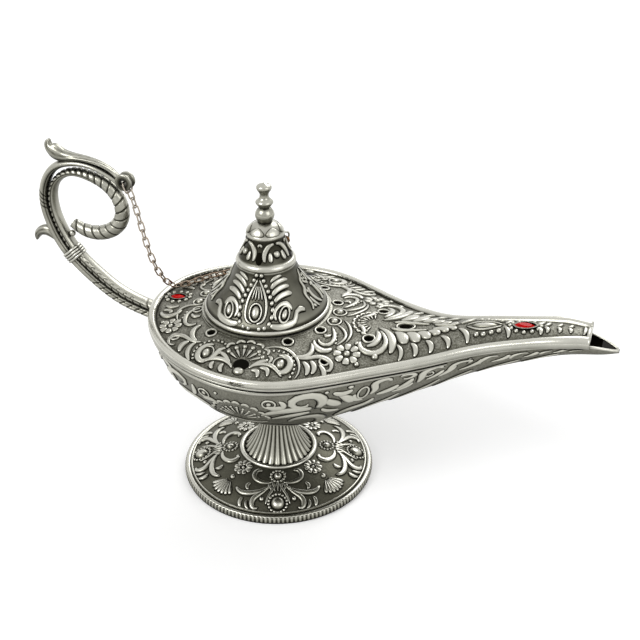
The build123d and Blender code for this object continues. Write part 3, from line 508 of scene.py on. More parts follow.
# Rubbed flutes: bright ridges between thin dark lines.
fluted_silver = antique_silver(
    "fluted silver rubbed bright",
    [(0.0, "#14130c"), (0.35, "#3d3c33"), (0.7, "#838277"), (1.0, "#bdbcb1")],
    roughness=(0.5, 0.25), hollow=0.3, grain=(0.7, 0.012), raised=tone_of,
)
make_piece("fluted_stem", [fluted_stem()], fluted_silver, stands_for=["foot_stem"])

# Fixings: steel bolt, washer and nut that clamp bowl, stem and foot, and the screws that hold the handle.
# Zinc plated and drum finished, so they are a cool grey with a fine satin grain and no patina.


def blended(tree, share, first, second):
    """Two colours mixed by a share."""
    mix = add_node(tree, "ShaderNodeMix", {0: share, 6: linear(first), 7: linear(second)}, data_type="RGBA")
    return mix.outputs[2]


def zinc_plate(name, code):
    """Bright zinc over steel: one cool colour with a slow 4 mm cloud and a faint turned grain of 0.3 mm."""
    made, tree, shader, place = new_finish(name)
    cloud = noise(tree, place, 250.0)
    feed(tree, shader, {
        "Base Color": blended(tree, cloud, code, "#b9bcbc"),
        "Roughness": spread(tree, cloud, 0.28, 0.42),
        "Normal": bumped(tree, noise(tree, place, 3300.0), 0.01),
        "Metallic": 1.0,
    })
    return made


# Drum plated zinc: one cool even grey with a satin sheen.
zinc = zinc_plate("bright zinc plate", "#8f9496")
for name in ("foot_washer", "foot_bolt", "foot_nut", "handle_screws"):
    finish_node(name, zinc)

# Bowl: the cast lower shell with its long spout. Flat chased scrolls stand a little above a stippled ground,
# under a thin bead that runs along below the rim.
widest_place = 2.3
rear_length = 45.8
front_length = 114.3
hull_half_width = 40.4
hull_depth = 32.6
rim_height = 62.1
spout_rise = 14.4
deck_crown = 7.2
seam_drop = 1.6
mm_per_degree = 0.6
deck_back = -43.5
deck_length = 160.1
forward_shares = np.array([
    (0, 1, 1), (0.07, 0.974, 0.975), (0.14, 0.898, 0.935), (0.21, 0.785, 0.85), (0.28, 0.662, 0.75),
    (0.35, 0.543, 0.655), (0.42, 0.437, 0.56), (0.49, 0.345, 0.475), (0.56, 0.277, 0.4), (0.64, 0.227, 0.335),
    (0.72, 0.195, 0.275), (0.8, 0.168, 0.215), (0.87, 0.138, 0.172), (0.917, 0.114, 0.148),
    (0.95, 0.088, 0.115), (0.975, 0.057, 0.075), (1, 0.012, 0.03),
])
lengthwise_shares = np.array([
    (0, 0.174, 0.06), (0.04, 0.14, 0.18), (0.085, 0.097, 0.42), (0.13, 0.06, 0.66), (0.19, 0.03, 0.86),
    (0.26, 0.005, 1), (0.34, 0, 0.96), (0.4, 0.01, 0.82), (0.48, 0.05, 0.72), (0.56, 0.13, 0.64),
    (0.625, 0.24, 0.66), (0.69, 0.44, 0.6), (0.75, 0.64, 0.48), (0.81, 0.8, 0.36), (0.87, 0.94, 0.27),
    (0.91, 0.995, 0.22), (0.941, 1, 0.2), (0.97, 0.95, 0.1), (1, 0.86, 0.02),
])


def follow(rows, place, column):
    """One cubic between neighbouring rows, its slope at a row the slope between that row's neighbours."""
    x, y = rows[:, 0], rows[:, column]
    slope = np.concatenate([[(y[1] - y[0]) / (x[1] - x[0])], (y[2:] - y[:-2]) / (x[2:] - x[:-2]),
                            [(y[-1] - y[-2]) / (x[-1] - x[-2])]])
    place = np.clip(place, x[0], x[-1])
    i = np.clip(np.searchsorted(x, place) - 1, 0, len(x) - 2)
    step = x[i + 1] - x[i]
    t = (place - x[i]) / step
    value = y[i] * (2 * t**3 - 3 * t**2 + 1) + y[i + 1] * (3 * t**2 - 2 * t**3)
    return value + step * (slope[i] * (t**3 - 2 * t**2 + t) + slope[i + 1] * (t**3 - t**2))


def swell(x, column):
    """Share of the widest section: a quarter ellipse behind the widest place, the shares before it."""
    back = np.sqrt(np.clip(1 - ((widest_place - x) / rear_length) ** 2, 0.0004, 1))
    return np.where(x < widest_place, back, follow(forward_shares, (x - widest_place) / front_length, column))


def half_width(x):
    """Half the width of the shell at a place along the lamp."""
    return hull_half_width * swell(x, 1)


def rim_at(x):
    """Height of the rim, which dips at the lid and climbs along the spout."""
    return rim_height + spout_rise * follow(lengthwise_shares, (x - deck_back) / deck_length, 1)


def bowl_place(x, degrees, side):
    """A half ellipse hung from the seam: degrees run from the seam down to the keel."""
    angle = np.radians(degrees)
    drop = hull_depth * swell(x, 2) - seam_drop * swell(x, 2)
    y = side * half_width(x) * np.cos(angle)
    z = rim_at(x) - seam_drop - drop * np.sin(angle)
    return np.stack([x, y, z], axis=-1)


def on_bowl(side):
    """A carrier for local points in millimetres: x along the lamp, and millimetres down from the seam."""
    def carrier(x, down):
        degrees = down / mm_per_degree
        along = bowl_place(x + 0.05, degrees, side) - bowl_place(x - 0.05, degrees, side)
        below = bowl_place(x, degrees + 0.1, side) - bowl_place(x, degrees - 0.1, side)
        outward = unit(np.cross(along, below) * -side)
        return bowl_place(x, degrees, side), outward * np.sign(outward[:, 1:2] * side + 1e-9)
    return carrier


deck_last_place = -42.6
rear_angles = np.radians([0, 14, 30, 48, 68])
mouth_place = 107.1
rim_lift = 0.2


def rim_line(end, drop, reach, count):
    """The rim from the spout along the front, round the back and forward again: one smooth line through the
    shell's stations, then lowered by drop and stood out from the shell's edge by reach."""
    forward = widest_place + front_length * forward_shares[:13, 0]
    rear = widest_place - rear_length * np.cos(rear_angles)
    stations = np.concatenate([rear, forward, [mouth_place]])
    half = np.concatenate([hull_half_width * np.sin(rear_angles), half_width(stations[len(rear):])])
    corners = np.stack([stations, -half, rim_at(stations) + rim_lift], axis=1)
    line = line_through(corners, count, (0, -1, 0), (1, 0, 0))
    line = line[line[:, 0] <= end]
    line = np.concatenate([line[::-1], (line * [1, -1, 1])[1:]])
    out = unit(np.cross([0, 0, 1.0], np.gradient(line, axis=0)))
    return line - [0, 0, drop] + out * reach, out


def wire_along(line, out, size, around=10, looped=False, tone=None):
    """A round wire carried along a line: out is one direction square to it, one for all places or one for
    each, and the other is square to both. size is its radius, one for all or one for each place."""
    if looped:
        along = unit(np.roll(line, -1, axis=0) - np.roll(line, 1, axis=0))
    else:
        along = unit(np.gradient(line, axis=0))
    out = np.broadcast_to(out, line.shape)
    out = unit(out - along * np.einsum("ij,ij->i", out, along)[:, None])
    up = np.cross(along, out)
    size = np.broadcast_to(np.array(size, float), (len(line),))[:, None, None]
    angle = angles(around)[:, None]
    ring = out[:, None] * np.cos(angle) + up[:, None] * np.sin(angle)
    return closed_form(line[:, None] + ring * size, tone, looped)


def shaded_mouth(tree, place):
    """Full outside, and far below nought where the spout's inside shows: past 100 mm forward, on faces that
    look up. That dark is painted shade inside the mouth."""
    near_tip = combine(tree, "GREATER_THAN", axis_of(tree, place, "X"), 0.1)
    upward = combine(tree, "GREATER_THAN", facing_up(tree), -0.05)
    # Painted shade: the spout's inside, seen through its mouth, is pushed far darker.
    mouth_shade = combine(tree, "MULTIPLY", combine(tree, "MULTIPLY", near_tip, upward), 3.2)
    return combine(tree, "SUBTRACT", 1.0, mouth_shade)


# Stippled shell: a fine grey grain between the scrolls, and painted shade inside the spout's mouth.
bowl_silver = antique_silver(
    "stippled silver shell",
    [(0.0, "#15140e"), (0.5, "#4f4e44"), (1.0, "#929186")],
    roughness=(0.6, 0.4), hollow=0.55, grain=(0.55, 0.09), raised=shaded_mouth, speckle=0.4,
)
finish_node("bowl", bowl_silver)
lip_line, lip_out = rim_line(64.0, 3.1, 0.2, 190)
lip_size = np.interp(lip_line[:, 0], [10, 62], [0.78, 0.3])
make_piece("bowl_lip_bead", [wire_along(lip_line, lip_out, lip_size)], bright_silver)


def hoop(centre, radius, second, width, turn=0.0, tall=0.4, rows=26):
    """A raised rim along an ellipse, with the same cut across as a chased line."""
    angle = angles(rows)[:, None]
    share = np.array([-1, -1, -0.8, -0.4, 0.4, 0.8, 1, 1, 0]) * width / 2
    spare = np.array([-1, 0, 0, 0, 0, 0, 0, 1, 0]) * skirt
    x = (radius + share + spare) * np.cos(angle)
    y = (second + share + spare) * np.sin(angle)
    flat = spun(x, y, turn)
    high = ledge * np.array([0.6, 1, 0, 0, 0, 0, 1, 0.6, 0])
    high = high + tall * np.array([0, 0, 0.7, 1, 1, 0.7, 0, 0, 0])
    high[-1] = -sink
    tone = np.tile([0, 0, 0.5, 1, 1, 0.5, 0, 0, 0], rows)
    return flat + np.array(centre, float), np.tile(high, rows), tone, *grid_faces(rows, len(share), True)


def strokes(fat, rows, down=1.0):
    """Chased lines, one from each row of numbers: its width, then x and y of its points in turn. down is the
    length of one unit of y in millimetres."""
    return [chased(row[0], np.reshape(row[1:], (-1, 2)) * [1, down], fat=fat) for row in rows]


def scallops(centre, start, end, lobes, radius, width):
    """Bulging arcs side by side round a shell's edge."""
    edges = np.radians(np.linspace(start, end, lobes + 1))
    forms = []
    for a, b in zip(edges[:-1], edges[1:]):
        arc = ((a, radius), ((a + b) / 2, radius * 1.13), (b, radius))
        forms.append(chased(width, [from_centre(centre, angle, reach) for angle, reach in arc], rows=7))
    return forms


def each(form, rows, **look):
    """One form from each row of numbers: x and y of its centre, then its sizes."""
    return [form(row[:2], *row[2:], **look) for row in rows]


def mirrored_bowl(forms):
    """Both flanks of the bowl carry the same work, each turned to its own side."""
    return laid(forms, on_bowl(-1)) + laid(forms, on_bowl(1))


low_dome = 0.35
bowl_hoops = [(-11.5, 8.4, 2.0, 2.0, 0.75), (11.5, 7.0, 2.0, 2.0, 0.75), (38.8, 10.5, 1.5, 4.0, 0.8, 12),
              (58.4, 9.0, 1.3, 2.0, 0.7)]
bowl_beads = [(-11.5, 8.4, 0.9), (11.5, 7.0, 0.9), (35.5, 4.4, 1.0), (28.6, 4.6, 0.7), (50.8, 3.6, 0.7),
              (70.8, 3.4, 0.6), (-6.6, 5.6, 0.7)]
bowl_forms = each(hoop, bowl_hoops, tall=low_dome) + each(bead, bowl_beads, tall=low_dome)
bowl_forms += strokes(0.45, [
    (3, -31.5, 45, -28.5, 24, -24, 11, -19.5, 12, -20, 18, -23, 20),
], mm_per_degree)
bowl_forms += strokes(0.5, [
    (2.4, -36, 34, -33.5, 20, -31.5, 11),
    (2.3, -31, 12, -27.5, 9, -24.8, 12.5),
    (2, -24, 30, -20, 26, -17.5, 31),
    (2.3, -16.2, 11, -15.6, 17, -17, 23),
    (2, 14.6, 9, 16, 13, 14.6, 17),
    (2.4, 26.5, 24, 27.8, 29, 31.2, 32),
    (3, 30.5, 9, 33.3, 12.6, 36, 10.2),
    (2.7, 40.2, 23, 42.4, 16, 42.8, 9, 46, 7.2, 47.4, 12),
    (3.4, 42, 25, 46, 24, 49.2, 19),
    (1.8, 49.5, 8.5, 52.6, 7, 54.2, 10, 52.2, 12.8, 50.4, 11.2),
    (2.4, 46.5, 28, 50.5, 27, 53.5, 22),
    (3, 54.5, 26, 56.2, 17, 57.5, 9, 61.5, 7, 62.6, 12),
    (2.4, 57, 24, 61, 20, 62.8, 15),
    (2.3, 64.5, 24, 65.2, 14, 68.2, 8, 71.2, 10, 69.6, 15),
    (2.2, 67, 25, 71, 22, 73.4, 15),
    (2.2, 74, 24, 74.8, 14, 77.6, 9, 80, 12),
    (1.8, 77, 24, 80.6, 20, 82.6, 13),
    (2, 83.5, 24, 84.6, 14, 87.2, 10, 89, 14),
    (1.7, 87, 24, 90.2, 20, 92, 13),
    (1.7, 92.6, 23, 94, 14, 96.4, 11),
    (1.5, 96, 22, 98.6, 17, 100.4, 12),
    (1.3, 101, 21, 103, 15, 105.4, 12),
    (3.4, 28, 45, 33, 38, 38.5, 36, 41.5, 30),
    (3.4, -14, 62, -15, 50, -10, 43, -4, 45),
    (3.4, 15, 62, 14.5, 50, 9, 43, 4, 45),
    (3, -32, 62, -30, 48, -26.5, 56),
    (3, 32, 62, 37, 50, 44, 44, 49.5, 36),
    (2.7, 44, 60, 50, 50, 57, 42, 62, 33),
    (2.4, 58, 56, 65, 46, 72, 36),
    (2.3, 72, 54, 80, 42, 87, 33),
    (2, 86, 50, 93, 38, 99, 29),
    (2.7, 48, 26, 51.6, 21, 53.6, 14.5),
    (2.9, 60.6, 26, 64.4, 20, 66.4, 12),
    (2.7, 69.6, 25, 73.2, 19, 74.6, 11),
    (2.4, 78.6, 25, 81.8, 18, 83, 11),
    (2.1, 88, 24, 90.6, 17, 91.6, 11),
    (1.7, 96.6, 22, 98.6, 16, 99.4, 11),
    (2.4, 36.6, 17, 36, 23, 38.6, 27),
    (2.9, 10.5, 13.5, 13, 15.5, 16.4, 14),
    (2.7, -12.4, 20, -9.4, 17.5, -6.6, 18.5),
    (2.4, -27.6, 29, -25.6, 22, -27.4, 17),
], mm_per_degree)
bowl_forms += strokes(0.35, [
    (3.7, 24.3, 23, 27.2, 17, 26.2, 10, 22, 7.5, 18.6, 10.5, 19, 16, 22.2, 17.5, 23.4, 14),
], mm_per_degree)
bowl_forms += strokes(0.4, [
    (3.5, 24.5, 21.5, 19, 19, 13, 19.5, 7.5, 24.5),
    (2.4, 23.5, 25, 17, 25, 10.5, 28),
    (3.9, -22.5, 52, -25, 40, -21.5, 29, -15, 26, -10.4, 30, -11.2, 37),
    (3.7, 19.5, 52, 24.5, 42, 24, 33, 18.5, 30.5, 15, 36),
], mm_per_degree)
bowl_forms += strokes(0.6, [
    (3.9, 27.5, 13, 29.4, 19, 31.8, 26),
    (3.9, 31.6, 13.5, 34.2, 19, 34.8, 27),
], mm_per_degree)
bowl_forms += shell((0.5, 17.5), 198, 342, 9, 2.0, 6.6, 0.7, bulb=0.6)
bowl_forms += scallops((0.5, 17.5), 182, 358, 9, 9.0, 1.3)
bowl_forms += [chased(1.2, [(-9, 19.0), (-4, 20.6), (0.5, 20.2), (5, 20.6), (10, 19.0)])]
# Flat chased silver: broad pale scrolls with a dark outline.
bowl_silver_work = antique_silver(
    "flat chased silver",
    [(0.0, "#100f0a"), (0.3, "#3a3930"), (0.6, "#b0afa4"), (1.0, "#d8d7cc")],
    roughness=(0.55, 0.33), hollow=0.3, grain=(0.5, 0.02), raised=tone_of,
)


def lowered(form, limit):
    """Raised work brought down to a limit, its rounded top kept and its sunken foot left where it is."""
    flat, high, tone, quads, triangles = form
    share = min(1.0, limit / high.max())
    return flat, np.where(high > 0, high * share, high), tone, quads, triangles


flat_relief = 0.42
bowl_forms = [lowered(form, flat_relief) for form in bowl_forms]
make_piece("bowl_scrolls", mirrored_bowl(bowl_forms), bowl_silver_work)

# Deck: the cast and pierced upper shell, soldered to the bowl along the rim under a heavy half-round bead.
# Leaves, shells, flowers and pearls stand high on a stippled ground; a turned seat takes the lid.


def on_deck(x, y):
    """The deck: a circular arc across from rim to rim, raised by the crown at each place along the lamp.
    Outward is square to its slopes along and across."""
    def height(x, y):
        crown = deck_crown * follow(lengthwise_shares, (x - deck_back) / deck_length, 2)
        bend = (half_width(x) ** 2 + crown**2) / (2 * crown)
        return rim_at(x) + crown - bend + np.sqrt(np.maximum(bend**2 - y**2, 0))
    x = np.maximum(x, deck_last_place)
    along = (height(x + 0.1, y) - height(x - 0.1, y)) / 0.2
    beside = (height(x, y + 0.1) - height(x, y - 0.1)) / 0.2
    outward = unit(np.stack([-along, -beside, np.ones_like(x)], axis=1))
    return np.stack([x, y, height(x, y)], axis=1), outward


def length_of(tree, vector):
    """How far a point lies from nought."""
    return add_node(tree, "ShaderNodeVectorMath", {0: vector}, operation="LENGTH").outputs["Value"]


def seat_ring(tree, place):
    """Bright where the distance from the lid's axis is that of the turned seat, 21.4 to 22.8 mm."""
    turn = {"Vector": place, "Location": (0.003, 0, 0), "Scale": (1, 1, 0)}
    from_axis = add_node(tree, "ShaderNodeMapping", turn).outputs[0]
    away = length_of(tree, from_axis)
    inner = combine(tree, "GREATER_THAN", away, 0.0214)
    return combine(tree, "MULTIPLY", inner, combine(tree, "LESS_THAN", away, 0.0228))


# Stippled deck: a coarse dark sparkle under the leaves, and a bright turned seat.
deck_silver = antique_silver(
    "stippled silver deck",
    [(0.0, "#100f0a"), (0.3, "#2c2b23"), (0.6, "#5b5a50"), (1.0, "#c4c3b8")],
    roughness=(0.62, 0.38), hollow=0.6, grain=(0.55, 0.15), raised=seat_ring, speckle=0.5,
)
finish_node("deck", deck_silver)
rim_stands_out = 0.08
rim_drawn_in = 0.12
mouth_swing = 0.35
rim_path, rim_out = rim_line(mouth_place, 0.0, 0.0, 190)
near_widest = np.exp(-(((rim_path[:, 0] - widest_place) / 9) ** 2))
swing = np.interp(rim_path[:, 0], [90, 100], [0, mouth_swing])
rim_reach = rim_stands_out - rim_drawn_in * near_widest + swing
rim_path = rim_path + rim_out * rim_reach[:, None]
rim_size = np.interp(rim_path[:, 0], [40, 70, 88, 100], [1.55, 1.72, 1.72, 2.05])
lip_y = np.linspace(-1, 1, 24) * (float(half_width(106.4)) - 0.2)
mouth_line, mouth_up = on_deck(np.full(24, 106.5), lip_y)
gutter_x = 106.0 + 9.7 * np.sin(np.linspace(0, np.pi / 2, 24))
gutter_z = rim_at(gutter_x) - seam_drop - 0.15
gutter_edge = np.stack([gutter_x, 0.35 - half_width(gutter_x), gutter_z], axis=1)
gutter_edge = np.concatenate([gutter_edge, (gutter_edge * [1, -1, 1])[::-1]])
bead_forms = [
    wire_along(rim_path, rim_out, rim_size, around=20),
    wire_along(rim_path + rim_out * 0.95 - [0, 0, 1.2], rim_out, 0.5),
    wire_along(mouth_line, mouth_up, 0.8, around=12),
    wire_along(gutter_edge, [0, 0, 1.0], 0.5),
]
make_piece("deck_rim_bead", bead_forms, bright_silver)


def shadow_disc(centre, radius, second):
    """Painted shade where a hole shows dark: a thin disc that stays dark all over, its tone below nought."""
    flat, high, tone, quads, triangles = bead(centre, radius, second, tall=0.04, around=16)
    return flat, high, 0 * tone - 1.5, quads, triangles


def pearl_line(points, count, size):
    """Small beads set evenly along a line."""
    return [bead(spot, size, around=8) for spot in line_through(points, count)]


deck_hoops = [(-27.2, -3.2, 2.3, 2.3, 0.7), (-12.9, -30.7, 2.4, 3.0, 0.7), (12.7, -29.7, 2.4, 2.9, 0.7),
              (22.6, -3.2, 2.3, 2.3, 0.7)]
deck_beads = [
    (-27.2, -3.2, 1.35), (-12.9, -30.7, 1.4, 1.9), (12.7, -29.7, 1.4, 1.9), (22.6, -3.2, 1.4),
    (40.8, -17.0, 1.2), (-35.2, -17.2, 0.8), (36.0, -21.6, 0.9), (33.4, -12.8, 0.8),
    (-29, -10.5, 0.55), (-28.9, -12.3, 0.55), (-28.9, -14, 0.55), (-29.3, -15.6, 0.55),
    (25.4, -10, 0.55), (25.9, -11.6, 0.55), (26.3, -13.2, 0.55), (26.8, -14.8, 0.55),
    (71.4, -4.8, 0.95), (73.6, -4.7, 0.95), (76, -3.9, 0.95), (78.3, -3.1, 0.95),
]
deck_forms = each(hoop, deck_hoops) + each(bead, deck_beads)
# Painted shadow: a dark disc where the pierced hole shows dark, with its round post in front.
deck_forms += [shadow_disc((0.4, -33.2), 2.5, 2.0), bead((0.5, -36.0), 1.9, 1.5, tall=0.8)]
deck_forms += strokes(0.5, [
    (2.1, -38.6, -10.4, -37.6, -12.6, -35, -13.6, -32.4, -12, -31.6, -8.6),
    (1.5, -38.3, -10.2, -36.5, -9.7, -34.9, -10.7, -35.6, -11.7),
    (1.5, -24.2, -8, -26.8, -9.2, -28, -12, -27.4, -15.5, -25.4, -18, -23, -17.8, -22.4, -16.2),
    (1, -26, -5.8, -30, -6.2, -32.2, -9, -31.6, -13, -29.5, -16.4),
    (1.3, -26.5, -11.2, -25, -13.2, -22.7, -12.6),
    (2, -20, -17.5, -21.7, -20.5, -20.8, -24, -18, -25.8),
    (1.6, -25, -28.3, -27.8, -28, -28.7, -25.8, -26.8, -23.8, -23.5, -24.2, -20, -26, -16, -26),
    (2.1, -20.8, -26.2, -22.8, -28.5, -22.3, -31.5),
    (1.8, -18, -26.2, -19.6, -29, -19.2, -32, -17, -35),
    (1.8, -9, -27.4, -9.6, -31, -11.5, -33.8),
    (1.6, -1.8, -35.6, -3.5, -33.8, -7, -32.4, -10.2, -33, -12.6, -34.8),
    (1.6, -5.2, -34, -5.8, -36.3, -4.6, -37.6),
    (1.6, -8.6, -33.8, -9.3, -35.6, -8.2, -36.8),
    (1.6, 3.5, -34, 6, -32, 10, -31.3, 13, -33, 15, -34.8),
    (1.6, 4.2, -35, 6.2, -34.6, 7.2, -37.2),
    (1.6, 6.5, -33.3, 9.2, -33.2, 10.2, -36),
    (1.1, 4.6, -26, 7.5, -23.6, 11, -22.8, 15.5, -24.5, 18.5, -28, 19.3, -32, 18.4, -34.6),
    (2, 18.6, -17, 20.3, -20, 20, -23, 17.5, -24.8, 14.5, -24.9),
    (1.8, 16, -25.5, 20, -24.6, 23, -22.7, 26.5, -22.8, 28.6, -25, 28.2, -27.2, 26, -27.4),
    (1.9, 21, -25, 23.5, -27.5, 23.3, -30.4),
    (1.9, 18.8, -26.3, 21.3, -28, 21.8, -31.5),
    (1.6, 20.6, -13.6, 21.6, -16.2, 24.3, -16.6, 25.6, -13.5, 24.5, -9.5, 22.6, -6.4),
    (1.3, 21.6, -11.3, 22.9, -12.3, 24, -11),
    (1.1, 23.5, -4.8, 27.3, -7.5, 29, -11, 28.2, -14, 27, -16),
    (1.1, 25.3, -1.2, 28.3, -4.5, 30.2, -9, 29.6, -14),
    (1.9, 50.6, -8.9, 53, -11.2, 53.2, -14.2),
    (1.9, 55.2, -7.3, 57.8, -9.6, 57.8, -12.2),
    (1.8, 59.8, -5.2, 62.8, -7.4, 63.3, -10.2),
    (1.8, 64.8, -1.6, 67.8, -4, 69.2, -8.4),
    (1.6, 46.2, -10.2, 48.6, -13, 48.6, -16.8),
    (1.5, 79.6, -0.8, 81.3, -3, 81.7, -6),
    (0.9, 67, -0.2, 70.2, -2, 73.2, -2.5, 76.6, -1.6, 79.2, -0.2),
    (1.4, 92.2, -0.3, 93.6, -1.8, 93.4, -3.4),
    (1.3, 96.2, -0.3, 97.4, -1.6, 97.1, -3),
    (1.3, 99.7, -0.3, 100.8, -1.4, 100.6, -2.6),
    (1.5, -33.6, -6.4, -36.2, -7.6, -38.8, -7),
    (1.6, -24.8, -31.2, -27.6, -30.8, -29.4, -28.6),
    (1.8, 24.2, -25.6, 27.4, -29.4, 27.2, -31.6),
    (1.6, 30.4, -2.2, 33.2, -4.6, 34.4, -8),
    (2.2, 37.8, -4.4, 39.6, -8, 38.8, -12, 36.4, -13.4),
    (1.5, 90, -0.6, 91.6, -2.6, 91.6, -4.4),
])
deck_forms += strokes(0.4, [
    (2.2, 34.2, -10.6, 35.6, -15, 40, -15.8, 42.8, -12, 41.3, -7, 38.3, -3.6),
    (2.2, -11.5, -34.6, -14.6, -33.6, -15.6, -30.4, -14.2, -27.6, -11.2, -26.8),
    (2.4, 12.8, -33.6, 15.4, -31.6, 15.6, -28.2, 13.4, -26.2, 10.4, -26.6),
    (1.6, -8.8, -29.6, -6.6, -30.6, -4.4, -32.6, -2.8, -34.8),
    (1.6, 8.8, -29.4, 6.8, -30.4, 4.8, -32.4, 3.2, -34.4),
    (2.2, 26.6, -17.4, 23.8, -19.6, 20.6, -18, 19.4, -15),
    (1.5, 41.8, -2, 46, -2.6, 50, -2.4, 55, -1.8),
    (1.5, 56, -1.4, 60, -0.9, 64, -0.4),
])
deck_forms += strokes(0.6, [
    (3, 37.7, -2.6, 41.5, -4.6, 44.4, -8.6, 45.2, -15),
    (4.2, 43.8, -4, 46.6, -5.6, 48.6, -10),
    (4, 47.8, -4, 50.8, -5.4, 52.6, -8.8),
    (3.5, 51.4, -3.8, 54.4, -4.6, 56.2, -6.8),
    (3, 54.9, -3, 57.6, -3.4, 59.4, -4.6),
    (2.5, 58.1, -2, 60.4, -2.2, 62, -3.2),
    (2, 61.4, -1.2, 63.2, -1.4, 64.5, -2),
])
deck_forms += rosette((-31.3, -19.0), 4.1, 8, 1.0)
deck_forms += pearl_line([(-5.8, -28), (-8, -25.8), (-11, -24.7), (-14.3, -25.5), (-16.6, -28), (-17.3, -31),
                          (-16.6, -33.6)], 13, 0.55)
deck_forms += shell((0.3, -32.5), 148, 32, 6, 2.4, 6.4, 1.0, bulb=0.9)
deck_forms += scallops((0.3, -32.5), 168, 12, 7, 8.6, 1.2)
deck_forms += pearl_line([(4.8, -28), (7.4, -25.6), (11, -24.6), (14.6, -25.6), (16.8, -28), (17.6, -31.4),
                          (17.3, -33.6)], 13, 0.55)
deck_forms += rosette((31.7, -18.4), 4.7, 8, 1.25)
pierced = [(0.102, 0.79, 0.65), (0.112, 0.268, 0.8), (0.177, 0.565, 0.85), (0.344, 0.5, 0.85),
           (0.395, 0.275, 0.85), (0.432, 0.745, 0.7), (0.5, 0.37, 1.0)]
for share, width_share, size in pierced:
    hole_x = deck_back + deck_length * share
    hole_y = -float(half_width(hole_x)) * width_share
    deck_forms.append(hoop((hole_x, hole_y), 1.4 * size + 0.6, 1.4 * size + 0.6, 0.8))
deck_forms = across(deck_forms)
deck_forms += pearls((-37, 0), 4.5, 3.7, 11, 0.85) + pearls((86.3, 0), 5.0, 3.4, 12, 0.8)
deck_forms += shell((36.2, 0), 106, 254, 9, 2.6, 5.4, 0.7, bulb=0.6)
deck_forms += scallops((36.5, 0), 100, 260, 9, 7.0, 0.9)
deck_forms += [bead((73.2, 0), 4.2, 1.5, tall=0.7), hoop((46.8, 0), 3.1, 2.2, 0.8)]
deck_forms += [chased(1.2, [(104.8, -2.8), (105.2, 0), (104.8, 2.8)])]
make_piece("deck_leaves_and_pearls", laid(deck_forms, on_deck), carved_silver)

# Red stones: two pointed oval glass stones, foil backed, cut with a flat table and facets round it. Each is
# held by the thin rim that is pressed over its edge.
# Foiled glass: a deep clear red with small sharp glints.
gem_red, gem_tree, gem_shader, gem_place = new_finish("red foiled glass")
feed(gem_tree, gem_shader, {
    "Base Color": blended(gem_tree, noise(gem_tree, gem_place, 1300.0, 1.0), "#5c0002", "#f01410"),
    "Roughness": 0.05,
    "IOR": 1.5,
    "Specular IOR Level": 0.06,
})


def cut_stone(node):
    """Rings of a pointed oval, its half width the square root of one minus the place squared times itself,
    stepped in from girdle to table, so that flat facets run round it."""
    low, high = [np.array(corner) * 1000 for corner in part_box(node)]
    middle, half = (low + high) / 2, (high - low) / 2
    angle = angles(14)
    x = np.cos(angle)
    y = np.sign(np.sin(angle)) * np.abs(np.sin(angle)) ** 1.25
    rings = [(0.8, -0.9), (1.0, -0.1), (1.0, 0.2), (0.8, 0.68), (0.55, 0.98)]
    grid = [middle + half * np.stack([share * x, share * y, level + 0 * x], axis=1) for share, level in rings]
    return closed_form(np.array(grid))


for node in ("rear_gem", "front_gem"):
    make_piece(node + "_cut", [cut_stone(node)], gem_red, sharp=12, stands_for=[node])

# Lid: a spun bell on a rolled flange with a plain ring below it that drops into the deck. The bell and ring
# stay as the CAD nodes; drops, leaves, arches and pearls are raised round the skirt and neck.
lid_axis = -3.0
lid_base = 68.15
lid_height = 32.2
flange_radius = 21.2
lid_shares = np.array([
    (0.012, 1.005), (0.03, 1.0), (0.121, 0.925), (0.242, 0.75), (0.363, 0.608), (0.484, 0.514), (0.55, 0.481),
    (0.615, 0.44), (0.72, 0.349), (0.779, 0.311), (0.85, 0.292), (0.9, 0.292), (0.962, 0.222), (1.0, 0.123),
])


def bell_zones(tree, place):
    """Brightness by height on the bell, from its foot to its crown: flange, band, upper ring and dome are
    rubbed bright, and the panels between them stay dark."""
    share = spread(tree, axis_of(tree, place, "Z"), 0.0, 1.0, 0.06815, 0.10035)
    zones = [(0.0, 0.95), (0.04, 0.9), (0.05, 0.0), (0.075, 0.0), (0.1, 0.45), (0.16, 0.25), (0.53, 0.22),
             (0.548, 1.0), (0.61, 0.95), (0.63, 0.12), (0.845, 0.12), (0.856, 1.0), (0.89, 0.95), (0.92, 0.6),
             (1.0, 0.85)]
    return graded(tree, share, [(position, (level, level, level, 1)) for position, level in zones])


# Spun bell: smooth dark panels between bands rubbed bright.
lid_silver = antique_silver(
    "spun silver bell",
    [(0.0, "#11100a"), (0.32, "#38372e"), (0.65, "#7b7a6f"), (1.0, "#c8c7bd")],
    roughness=(0.56, 0.26), hollow=0.35, grain=(0.5, 0.02), raised=bell_zones,
)
finish_node("lid_bell", lid_silver)
finish_node("lid_spigot", bright_silver)


def on_lid(x, up):
    """The bell: x is millimetres round it from the motif's middle, up is millimetres above its base. Outward
    is square to the profile's slope."""
    share = up / lid_height
    radius = flange_radius * follow(lid_shares, share, 1)
    slope = flange_radius * (follow(lid_shares, share + 0.004, 1) - follow(lid_shares, share - 0.004, 1))
    slope = slope / (0.008 * lid_height)
    turn = x / radius
    return round_axis(radius, turn, lid_base + up) + [lid_axis, 0, 0], unit(round_axis(1, turn, -slope))


def turned_motif(forms, degrees):
    """Local forms put on the bell, then turned about its axis."""
    a = np.radians(degrees)
    spin = np.array([[np.cos(a), -np.sin(a), 0], [np.sin(a), np.cos(a), 0], [0, 0, 1]])
    middle = np.array([lid_axis, 0, 0])
    return [((places - middle) @ spin.T + middle, quads, triangles, tone)
            for places, quads, triangles, tone in laid(forms, on_lid)]


def bell(points):
    """Points given as degrees from the motif's middle and share of the lid's height, as local millimetres."""
    points = np.array(points, float)
    radius = flange_radius * follow(lid_shares, points[:, 1], 1)
    return np.stack([np.radians(points[:, 0]) * radius, points[:, 1] * lid_height], axis=1)


